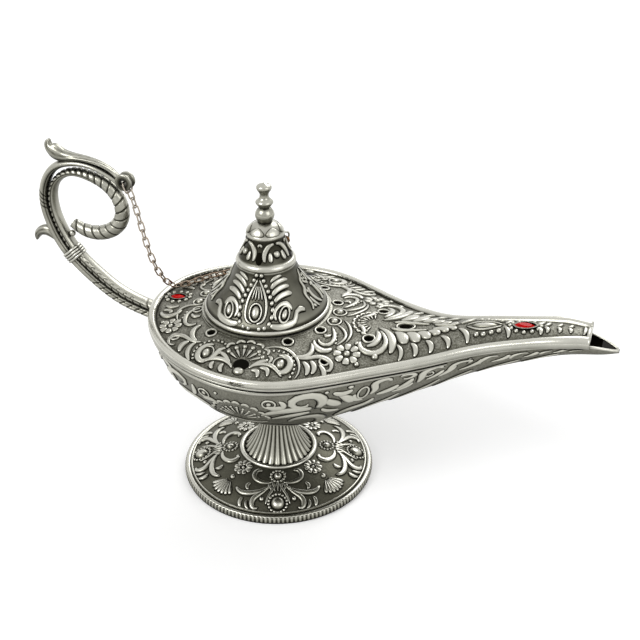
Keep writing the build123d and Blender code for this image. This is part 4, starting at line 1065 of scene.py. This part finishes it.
drop_edge = bell([(0.5, 0.50), (6, 0.43), (11, 0.34), (12.5, 0.25), (9, 0.15), (1, 0.115)])
base_curl = bell([(14, 0.115), (22, 0.085), (33, 0.09), (42, 0.125), (46, 0.175), (53, 0.185), (57, 0.15)])
curl_eye, panel_heart, arch_eye, point_eye = bell([(32, 0.18), (0, 0.37), (0, 0.715), (0, 0.685)])
drop_half = [
    chased(0.8, drop_edge, taper=0.3, rows=18),
    chased(1.3, bell([(19, 0.46), (30, 0.505), (42, 0.515)]), taper=0.5),
    chased(1.7, bell([(19, 0.395), (30, 0.455), (44, 0.468), (52, 0.455)]), taper=0.5, fat=0.4),
    chased(1.9, bell([(20, 0.335), (30, 0.39), (42, 0.405), (51, 0.39)]), taper=0.5, fat=0.4),
    chased(1.9, bell([(22, 0.28), (31, 0.325), (42, 0.338), (51, 0.32)]), taper=0.5, fat=0.4),
    chased(2.3, base_curl, fat=0.4),
    chased(1.4, bell([(23, 0.135), (22, 0.21), (31, 0.262), (41, 0.235), (42, 0.19)]), taper=0.5),
    hoop(curl_eye, 1.75, 2.0, 0.75, tall=0.5),
    bead(curl_eye, 1.05, 1.3),
]
drop_pearls = bell([(4.5, 0.53), (9.5, 0.465), (15, 0.39), (19, 0.30), (19, 0.20), (14, 0.11), (5, 0.075)])
drop_half += pearl_line(drop_pearls, 11, 0.78)
drop = across(drop_half, axis=0)
drop += [hoop((0, 6.6), 2.0, 2.3, 0.6), bead((0, 6.6), 1.4, 1.75, tall=0.9)]
for lean in (-7, -2.4, 2.4, 7):
    drop.append(chased(0.45, bell([(lean, 0.295), (lean * 0.8, 0.36), (lean * 0.3, 0.44)]), fat=0.35, rows=7))
panel_half = [
    chased(1.1, bell([(0.5, 0.49), (6, 0.465), (8, 0.42), (13, 0.385), (13, 0.32), (19, 0.27), (19, 0.19),
                      (24, 0.13)]), rows=22),
    chased(1.4, bell([(1, 0.13), (6, 0.16), (9, 0.22), (7, 0.28), (4, 0.26)])),
    chased(1.2, bell([(11, 0.12), (14, 0.17), (15, 0.23)])),
    *[bead(spot, 0.6) for spot in bell([(12, 0.27), (17, 0.15), (7, 0.36)])],
]
panel = across(panel_half, axis=0) + rosette(panel_heart, 1.9, 7, 0.55)
arch_half = [
    chased(1.5, bell([(0, 0.825), (14, 0.815), (27, 0.77), (33, 0.7), (31, 0.645)]), rows=13, taper=0.35),
    chased(1.5, bell([(20, 0.65), (17, 0.70), (18, 0.745)]), rows=8, taper=0.5, fat=0.4),
]
arch = across(arch_half, axis=0) + [bead(arch_eye, 1.15)]
point_arch_half = [chased(0.8, bell([(6, 0.79), (3, 0.815), (0.2, 0.83)]), rows=6)]
# The eye between the arch's legs is a dark disc of painted shade.
point_arch = across(point_arch_half, axis=0) + [shadow_disc(point_eye, 1.0, 1.7)]
petal = [chased(5.4, [(0, 28.9), (0, 30.2), (0, 31.4)], tall=0.32, fat=0.3, taper=0.7)]
lid_forms = []
for quarter in range(4):
    lid_forms += turned_motif(drop if quarter % 2 == 0 else panel, -82 + 90 * quarter)
    lid_forms += turned_motif(point_arch, -85 + 90 * quarter)
    lid_forms += turned_motif(arch, -130 + 90 * quarter)
for sixth in range(6):
    lid_forms += turned_motif(petal, -100 + 60 * sixth)
lid_ring = round_profile(20.95, 69.02, 0.92, 14)
lid_forms.append(turned(lid_ring, lid_axis))
make_piece("lid_drops_and_leaves", lid_forms, carved_silver, body="lid")

# Finial: one turned knop, a ball below and a flared button on top, screwed down by a stud and a nut inside.
# Turned knop: a smooth dark gleam in narrow bands.
turned_silver = antique_silver(
    "turned silver knop",
    [(0.0, "#14130c"), (0.4, "#45443a"), (0.75, "#8b8a7f"), (1.0, "#bab9ae")],
    roughness=(0.42, 0.2), hollow=0.95, grain=(0.8, 0.01),
)
finish_node("lid_finial", turned_silver)
finish_node("lid_nut", zinc)

# Handle: two cast rods side by side. The outer one runs up to the chain's eye, and the rope one rolls into
# the scroll. Both are carved; four turns of wire bind them where the rear leaf springs off.
handle_reach = 49.5
handle_rise = 58.1
outer_shares = [(-0.061, -0.112), (0.113, -0.086), (0.352, -0.014), (0.580, 0.126), (0.758, 0.289),
                (0.840, 0.437), (0.875, 0.592), (0.844, 0.725), (0.758, 0.823), (0.616, 0.866),
                (0.461, 0.861), (0.333, 0.818), (0.242, 0.766)]
scroll_shares = [(0.475, 0.793), (0.342, 0.738), (0.267, 0.645), (0.273, 0.535), (0.380, 0.446),
                 (0.535, 0.422), (0.665, 0.466)]
outer_sizes = [(0, 1, 1), (0.65, 1, 1), (0.8, 0.78, 0.92), (0.92, 0.62, 0.8), (1, 0.55, 0.7)]
rope_sizes = [(0, 0.58, 0.97), (0.45, 0.56, 0.96), (0.60, 0.52, 0.93), (0.67, 0.68, 0.93), (0.76, 0.88, 1.0),
              (0.86, 1.0, 1.05), (0.94, 0.92, 0.97), (1, 0.66, 0.72)]
rod_half_width = 2.6
outer_half_thickness = 1.65
rope_half_thickness = 2.75
rod_spacing = 3.4


def handle_points(shares):
    """Shares of the handle's reach behind the shell and of its rise above the rim, as points."""
    away, rise = np.array(shares, float).T
    return np.stack([deck_back - away * handle_reach, 0 * away, rim_height + rise * handle_rise], axis=1)


def inward(line):
    """At each place of a line in the handle's plane, the direction square to it and to Y."""
    return unit(np.cross(np.gradient(line, axis=0), [0, 1.0, 0]))


def carved_rod(line, sizes, half_thickness, half_width, around, carving):
    """Ovals square to a line, their half axes from the size rows, less the carving's depth in millimetres,
    which is a function of the place along the rod in millimetres and of the angle round it."""
    place = np.linspace(0, 1, len(line))[:, None]
    sizes = np.array(sizes, float)
    thick = half_thickness * follow(sizes, place, 1)
    wide = half_width * follow(sizes, place, 2)
    angle = angles(around)
    side = inward(line)
    length = distances(line)[:, None]
    depth = carving(length, angle)
    sideways = (wide - depth) * np.cos(angle)
    outward = (thick - depth) * np.sin(angle)
    grid = line[:, None] + sideways[..., None] * np.array([0, 1.0, 0]) + outward[..., None] * side[:, None]
    return closed_form(grid, 1 - np.clip(depth / 0.35, 0, 1))


def peak(value, middle, reach):
    """Full where a value is the middle one, and down evenly to nought at a reach from it."""
    return np.clip(1 - np.abs(value - middle) / reach, 0, 1)


def narrow_cut(phase, share):
    """A groove once a turn of the phase, as wide as that share of it, deepest in its middle."""
    return peak(phase % 1, 0.5, share / 2) ** 0.6


def flank_line(angle, middle, reach):
    """A line along each flank, deepest where the sine of the angle is the middle one, and none on the edge
    of the handle's plane."""
    return peak(np.sin(angle), middle, reach) * np.abs(np.cos(angle)) ** 0.3


def leaf_cuts(length, angle):
    """Slanting cuts 3 mm apart on the stem, four more 1.6 mm apart on the outer bend, and one line along
    each flank on the side of the rope."""
    slant = length - 1.7 * np.sin(angle)
    flank = np.clip(np.abs(np.cos(angle)) * 1.6 - 0.4, 0, 1)
    stem = ((slant > 8) & (slant < 32)) * narrow_cut(slant / 3.0, 0.26)
    bend = ((slant > 65) & (slant < 71.4)) * narrow_cut((slant - 65) / 1.6, 0.42)
    line = flank_line(angle, -0.5, 0.16)
    return 0.34 * np.maximum(stem, bend) * flank + 0.24 * line * np.clip((length - 3) / 3, 0, 1)


def scroll_marks(length, angle):
    """Small C shapes 3 mm apart along the upper flanks between the bowl and the tie: each is the part of a
    ring round its middle that opens towards the bowl."""
    step = (length - 1.5) % 3.0 - 1.5
    rise = rod_half_width * (np.arcsin(np.sin(angle)) + 0.5)
    from_middle = np.hypot(step, rise)
    ring = peak(from_middle, 0.8, 0.3) * (step > -0.35)
    return 0.26 * ring * ((length > 14) & (length < 43))


def rope_wraps(length, angle):
    """Cuts that wind round the rod against its travel. Near the bowl they go right round, 3.4 mm apart; up to
    the top of the scroll they are short notches on the outer half, beside a line along each flank; and from
    there they go right round again, 2.8 mm apart at first and 3.8 mm at the scroll's end."""
    pitch = np.interp(length, [0, 10, 12, 44, 48, 84, 92, 130], [3.4, 3.4, 3.0, 3.0, 1.9, 2.2, 2.8, 3.8])
    step = np.diff(length, axis=0, prepend=0)
    phase = np.cumsum(step / pitch, axis=0) - angle / np.pi
    notch = np.clip((np.sin(angle) + 0.05) * 4, 0, 1)
    middle = np.clip(np.minimum((length - 9) / 2, (90 - length) / 4), 0, 1)
    cut = narrow_cut(phase, np.interp(length, [44, 50, 84, 92], [0.3, 0.5, 0.5, 0.26]))
    line = flank_line(angle, -0.12, 0.2)
    wraps = 0.32 * cut * (1 - middle + middle * notch) + 0.3 * line * middle
    return np.maximum(wraps, scroll_marks(length, angle))


outer_line = line_through(handle_points(outer_shares), 601)
tenths = np.round(np.linspace(0, 0.8, 9) * 600).astype(int)
rope_start = outer_line[tenths] - inward(outer_line)[tenths] * rod_spacing
rope_line = line_through(np.concatenate([rope_start, handle_points(scroll_shares)]), 760)
# Cast rope: rubbed backs between dark cuts.
handle_silver = antique_silver(
    "cast silver rope",
    [(0.0, "#100f0a"), (0.3, "#33322a"), (0.65, "#6d6c62"), (1.0, "#b2b1a6")],
    roughness=(0.5, 0.27), hollow=0.34, grain=(0.6, 0.015), raised=tone_of,
)


def make_rod(node, *cut):
    """A carved rod or leaf that stands for its CAD node."""
    make_piece(node + "_carved", [carved_rod(*cut)], handle_silver, stands_for=[node])


make_rod("handle_outer_rod", outer_line, outer_sizes, outer_half_thickness, rod_half_width, 48, leaf_cuts)
make_rod("handle_rope_rod", rope_line, rope_sizes, rope_half_thickness, rod_half_width, 48, rope_wraps)

binding_place = 0.405
binding_half_width = 3.3
binding_half_height = 3.63
binding_turn_radius = 0.52
binding_pitch = 0.998


def binding_turns():
    """Four turns of wire, each an ellipse round both rods, square to the outer one."""
    spot = int(round(binding_place * 600))
    side = inward(outer_line)[spot]
    middle = outer_line[spot] - side * rod_spacing / 2
    along = unit(outer_line[spot + 1] - outer_line[spot - 1])
    angle = angles(48)[:, None]
    out = binding_half_width * np.cos(angle) * [0, 1.0, 0] + binding_half_height * np.sin(angle) * side
    lines = [middle + along * turn * binding_pitch + out for turn in (-1.5, -0.5, 0.5, 1.5)]
    return [wire_along(line, along, binding_turn_radius, looped=True) for line in lines]


make_piece("handle_binding_turns", binding_turns(), bright_silver, stands_for=["handle_binding"])
horn_shares = [(0.262, 0.808), (0.318, 0.850), (0.452, 0.893), (0.600, 0.903), (0.680, 0.905), (0.748, 0.930),
               (0.784, 0.962), (0.770, 0.998)]
horn_sizes = [(0, 0.30, 0.60), (0.30, 0.36, 0.80), (0.55, 0.50, 0.95), (0.70, 0.95, 1.0), (0.82, 1.25, 0.95),
              (0.92, 0.85, 0.60), (1, 0.16, 0.16)]
rear_leaf_shares = [(0.800, 0.345), (0.826, 0.364), (0.880, 0.388), (0.950, 0.372), (0.990, 0.308)]
rear_leaf_sizes = [(0, 0.55, 1.0), (0.3, 0.95, 1.0), (0.6, 0.78, 0.9), (0.85, 0.5, 0.6), (1, 0.14, 0.16)]
leaf_half_width = 2.3


def leaf_veins(length, angle):
    """Long grooves down a leaf: four on each flank, fading at its root."""
    wave = np.abs(np.sin(4 * angle + 0.25 * length)) ** 0.6
    return 0.26 * (1 - wave) * np.clip(length / 4, 0, 1)


horn_line = line_through(handle_points(horn_shares), 90)
rear_leaf_line = line_through(handle_points(rear_leaf_shares), 60)
leaf_cut = (leaf_half_width, leaf_half_width, 32, leaf_veins)
make_rod("handle_top_leaf", horn_line, horn_sizes, *leaf_cut)
make_rod("handle_rear_leaf", rear_leaf_line, rear_leaf_sizes, *leaf_cut)
finish_node("handle_ball", bright_silver)

# Safety chain: nickel plated wire links worn to bronze at the lid, so that the lid can't be lost.
# It hangs from a ring through the tube eye on the handle and ends in a small eye soldered to the lid's neck.
eye_centre = handle_points([(0.212, 0.790)])[0]


def tube_eye():
    """A short tube across the handle's end, turned about Y: a bead at each end and a hollow between them."""
    profile = [(-2.0, 1.45), (-2.0, 2.5), (-1.75, 3.0), (-1.35, 3.1), (-0.95, 2.9), (-0.6, 2.55), (0.6, 2.55),
               (0.95, 2.9), (1.35, 3.1), (1.75, 3.0), (2.0, 2.5), (2.0, 1.45)]
    y, radius = np.array(profile).T
    grid = round_axis(radius, angles(48)[:, None], y)[..., [0, 2, 1]]
    tone = np.array([0.1, 0.7, 1, 1, 0.8, 0.35, 0.35, 0.8, 1, 1, 0.7, 0.1])
    return closed_form(grid + eye_centre, tone, looped=True)


make_piece("handle_tube_eye", [tube_eye()], handle_silver, sharp=50, stands_for=["handle_chain_eye"])
rest_shares = [(0.0140, 0.10, 1.35), (0.0235, 0.27, 0.30), (0.0420, 0.42, 0.0), (0.0680, 0.55, 0.0),
               (0.0960, 0.63, 0.0), (0.1300, 0.68, 0.0), (0.1720, 0.70, 0.10), (0.2120, 0.69, 1.30)]
lean_shares = [(0.97, 96, 0.270), (0.68, 84, 0.530)]
link_length = 4.3
link_width = 2.5
link_wire = 0.26
ring_wire = 0.32
lid_eye_wire = 0.35
lid_eye_radius = 1.3
lid_eye_turn = np.radians(52)
link_clearance = 0.1
rests = []
for along, beside, lift in rest_shares:
    rest_x = deck_back + deck_length * along
    crown = deck_crown * float(follow(lengthwise_shares, along, 2))
    rest_y = float(half_width(rest_x)) * beside
    top = float(rim_at(rest_x)) + crown * (1 - beside**2)
    rests.append((rest_x, rest_y, top + link_width * (0.5 + lift) + 4 * link_clearance))
for share, degrees, height in lean_shares:
    x, y = from_centre((lid_axis, 0), np.radians(degrees), share * flange_radius)
    rests.append((x, y, lid_base + height * lid_height))
rests = np.array(rests)
lid_eye_share = 0.772
neck_radius = flange_radius * float(follow(lid_shares, lid_eye_share, 1))
eye_out = np.array([np.cos(lid_eye_turn), np.sin(lid_eye_turn), 0])
lid_eye_centre = np.array([lid_axis, 0, lid_base + lid_height * lid_eye_share])
lid_eye_centre = lid_eye_centre + eye_out * (neck_radius + lid_eye_radius + lid_eye_wire / 2)
hang = unit(rests[0] - eye_centre)
ring_wide = 4.0 + 2 * (ring_wire + link_clearance)
ring_high = 3.1 + 2 * ring_wire + 2 * link_clearance


def jump_ring():
    """A ring sprung through the tube eye: a rounded oblong with corners three tenths of its height."""
    corner = 0.3 * ring_high
    angle = angles(56)
    sideways = corner * np.cos(angle) + np.sign(np.cos(angle)) * (ring_wide / 2 - corner)
    lengthwise = corner * np.sin(angle) + np.sign(np.sin(angle) + 1e-9) * (ring_high / 2 - corner)
    line = eye_centre + sideways[:, None] * [0, 1.0, 0] + (lengthwise + ring_high / 2)[:, None] * hang
    return wire_along(line, np.cross(hang, [0, 1.0, 0]), ring_wire, 8, looped=True)


climb = unit(lid_eye_centre - rests[-1])
pull = unit(eye_out * (climb @ eye_out) + np.array([0, 0, 1.0]) * climb[2])
ring_foot = eye_centre + hang * ring_high
route_points = np.concatenate([[ring_foot], rests, [lid_eye_centre - pull * lid_eye_radius]])
route = line_through(route_points, 1600, hang, climb)
span = distances(route)[-1]
half_link = link_length / 2 - link_wire
first = half_link - (ring_wire + link_wire + link_clearance)
last = span - half_link + (lid_eye_wire + link_wire + link_clearance)
longest_pitch = link_length - 4 * link_wire - 3 * link_clearance
link_count = 1 + int((last - first) / longest_pitch + 1)


def link_chain():
    """Ovals of round wire, one after another along the route, each turned a quarter from the last and the
    whole slowly twisted, so that the last one lies across the lid's eye."""
    spots = np.round(np.linspace(first, last, link_count) / span * (len(route) - 1)).astype(int)
    tangents = unit(np.gradient(route, axis=0)[spots])
    angle = angles(20)
    bend = link_width / 2 - link_wire
    lengthwise = bend * np.cos(angle) + np.sign(np.cos(angle) + 1e-9) * (link_length - link_width) / 2
    sideways = bend * np.sin(angle)
    side = np.array([0, 1.0, 0])
    sides = []
    for along in tangents:
        side = unit(side - along * (side @ along))
        sides.append(side)
    catch = np.cross(pull, np.cross(eye_out, [0, 0, 1.0]))
    wanted = catch - tangents[-1] * (catch @ tangents[-1])
    last_turn = np.radians(90 * ((link_count - 1) % 2))
    now = sides[-1] * np.cos(last_turn) + np.cross(tangents[-1], sides[-1]) * np.sin(last_turn)
    twist = np.degrees(np.arctan2(np.cross(now, wanted) @ tangents[-1], now @ wanted))
    twist = (twist + 90) % 180 - 90
    forms = []
    for number, (centre, along, side) in enumerate(zip(route[spots], tangents, sides)):
        share = number / (link_count - 1)
        turn = np.radians(90 * (number % 2) + twist * share)
        normal = side * np.cos(turn) + np.cross(along, side) * np.sin(turn)
        line = centre + lengthwise[:, None] * along + sideways[:, None] * np.cross(normal, along)
        forms.append(wire_along(line, normal, link_wire + link_clearance / 3, 8, looped=True, tone=share))
    return forms


def worn_nickel(name):
    """Nickel plate that wears through to bronze towards the lid: the link's own place mixes the two, with a
    1.5 mm cloud so that neighbouring links differ."""
    made, tree, shader, place = new_finish(name)
    cloud = noise(tree, place, 650.0, 1.0)
    worn = combine(tree, "MULTIPLY", tone_of(tree, place), cloud)
    worn = combine(tree, "MULTIPLY", worn, 2.1, use_clamp=True)
    feed(tree, shader, {
        "Base Color": blended(tree, worn, "#9c9488", "#7d5c3c"),
        "Roughness": spread(tree, cloud, 0.2, 0.38),
        "Metallic": 1.0,
    })
    return made


# Worn nickel: grey at the handle, warm bronze at the lid.
nickel = worn_nickel("nickel plated wire")
ring_form = jump_ring()
make_piece("handle_jump_ring_round", [(*ring_form[:3], 0 * ring_form[3])], nickel,
           stands_for=["handle_jump_ring"])
chain = make_piece("safety_chain_links", link_chain(), nickel, body=None,
                   stands_for=["lid_chain"])
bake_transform(chain)


def lid_eye():
    """A ring of wire on a short shank, upright and square to the lid's neck."""
    angle = angles(28)[:, None]
    upright = np.array([0, 0, 1.0])
    line = lid_eye_centre + lid_eye_radius * (np.cos(angle) * eye_out + np.sin(angle) * upright)
    ring = wire_along(line, np.cross(eye_out, upright), lid_eye_wire, looped=True)
    shank = lid_eye_centre - (lid_eye_radius + np.linspace(-0.1, 0.9, 4)[:, None]) * eye_out
    return [ring, wire_along(shank, upright, lid_eye_wire * 1.3)]


make_piece("lid_eye_ring", lid_eye(), bright_silver, body="lid", stands_for=["lid_chain_eye"])

# Room: a plain white floor and sky with soft light from large panels, and the camera of the photograph.
# The sky counts as white for camera, gloss and glass, and lights the rest more gently.


def seen_by(tree, *rays):
    """Full for the kinds of ray that are named, nought for all others."""
    path = add_node(tree, "ShaderNodeLightPath").outputs
    seen = path[rays[0]]
    for ray in rays[1:]:
        seen = combine(tree, "MAXIMUM", seen, path[ray])
    return seen


sky_light = 0.5
world = bpy.data.worlds.new("white studio")
world.use_nodes = True
bpy.context.scene.world = world
sky_tree = world.node_tree
sky_seen = seen_by(sky_tree, "Is Camera Ray", "Is Glossy Ray", "Is Transmission Ray")
sky_strength = spread(sky_tree, sky_seen, sky_light, 1.0)
feed(sky_tree, sky_tree.nodes["Background"], {"Color": linear("#ffffff"), "Strength": sky_strength})

floor_mesh = bpy.data.meshes.new("studio_floor")
floor_mesh.from_pydata([(-4, -4, 0), (4, -4, 0), (4, 4, 0), (-4, 4, 0)], [], [(0, 1, 2, 3)])
floor = bpy.data.objects.new("studio_floor", floor_mesh)
floor.location = (0, 0, -0.0002)
bpy.context.scene.collection.objects.link(floor)
# White floor paint: matt, with the lamp's soft shadow near it and plain white further off.
floor_paint, floor_tree, floor_shader, floor_place = new_finish("white floor")
floor_seen = seen_by(floor_tree, "Is Camera Ray", "Is Glossy Ray")
near_glow = 0.16
fade_start = 0.3
fade_end = 0.9
floor_fade = spread(floor_tree, length_of(floor_tree, floor_place), near_glow, 1.0, fade_start, fade_end)
feed(floor_tree, floor_shader, {
    "Base Color": linear("#ffffff"),
    "Roughness": 0.9,
    "Specular IOR Level": 0.0,
    "Emission Color": linear("#ffffff"),
    "Emission Strength": combine(floor_tree, "MULTIPLY", floor_seen, floor_fade),
})
floor_mesh.materials.append(floor_paint)

lamp_middle = np.array([0.016, 0, 0.06])


def panel_light(name, place, size, watts):
    """A square soft panel that looks at the middle of the lamp."""
    data = bpy.data.lights.new(name, "AREA")
    data.shape = "SQUARE"
    data.size = size
    data.energy = watts
    panel = bpy.data.objects.new(name, data)
    panel.location = place
    aim = lamp_middle - place
    flat = np.hypot(aim[0], aim[1])
    panel.rotation_euler = (np.arctan2(flat, -aim[2]), 0, np.arctan2(aim[1], aim[0]) - np.pi / 2)
    bpy.context.scene.collection.objects.link(panel)


panel_light("key_panel", (-0.55, -0.75, 0.9), 0.6, 7.0)
panel_light("fill_panel", (0.9, -0.35, 0.7), 0.7, 3.0)
panel_light("back_panel", (0.1, 0.9, 0.8), 0.6, 4.0)

camera_azimuth = np.radians(18.29)
camera_elevation = np.radians(30.31)
camera_distance = 0.37295
camera_target = np.array([0.01639, 0, 0.06575])
camera_data = bpy.data.cameras.new("photo_camera")
camera_data.lens = 60.77
camera_data.sensor_width = 36
camera_data.clip_start = 0.01
camera = bpy.data.objects.new("photo_camera", camera_data)
direction = np.array([np.sin(camera_azimuth) * np.cos(camera_elevation),
                      -np.cos(camera_azimuth) * np.cos(camera_elevation), np.sin(camera_elevation)])
camera.location = camera_target + camera_distance * direction
camera.rotation_euler = (np.pi / 2 - camera_elevation, 0, camera_azimuth)
bpy.context.scene.collection.objects.link(camera)
bpy.context.scene.camera = camera
bpy.context.scene.view_settings.view_transform = "Standard"

bpy.context.view_layer.update()
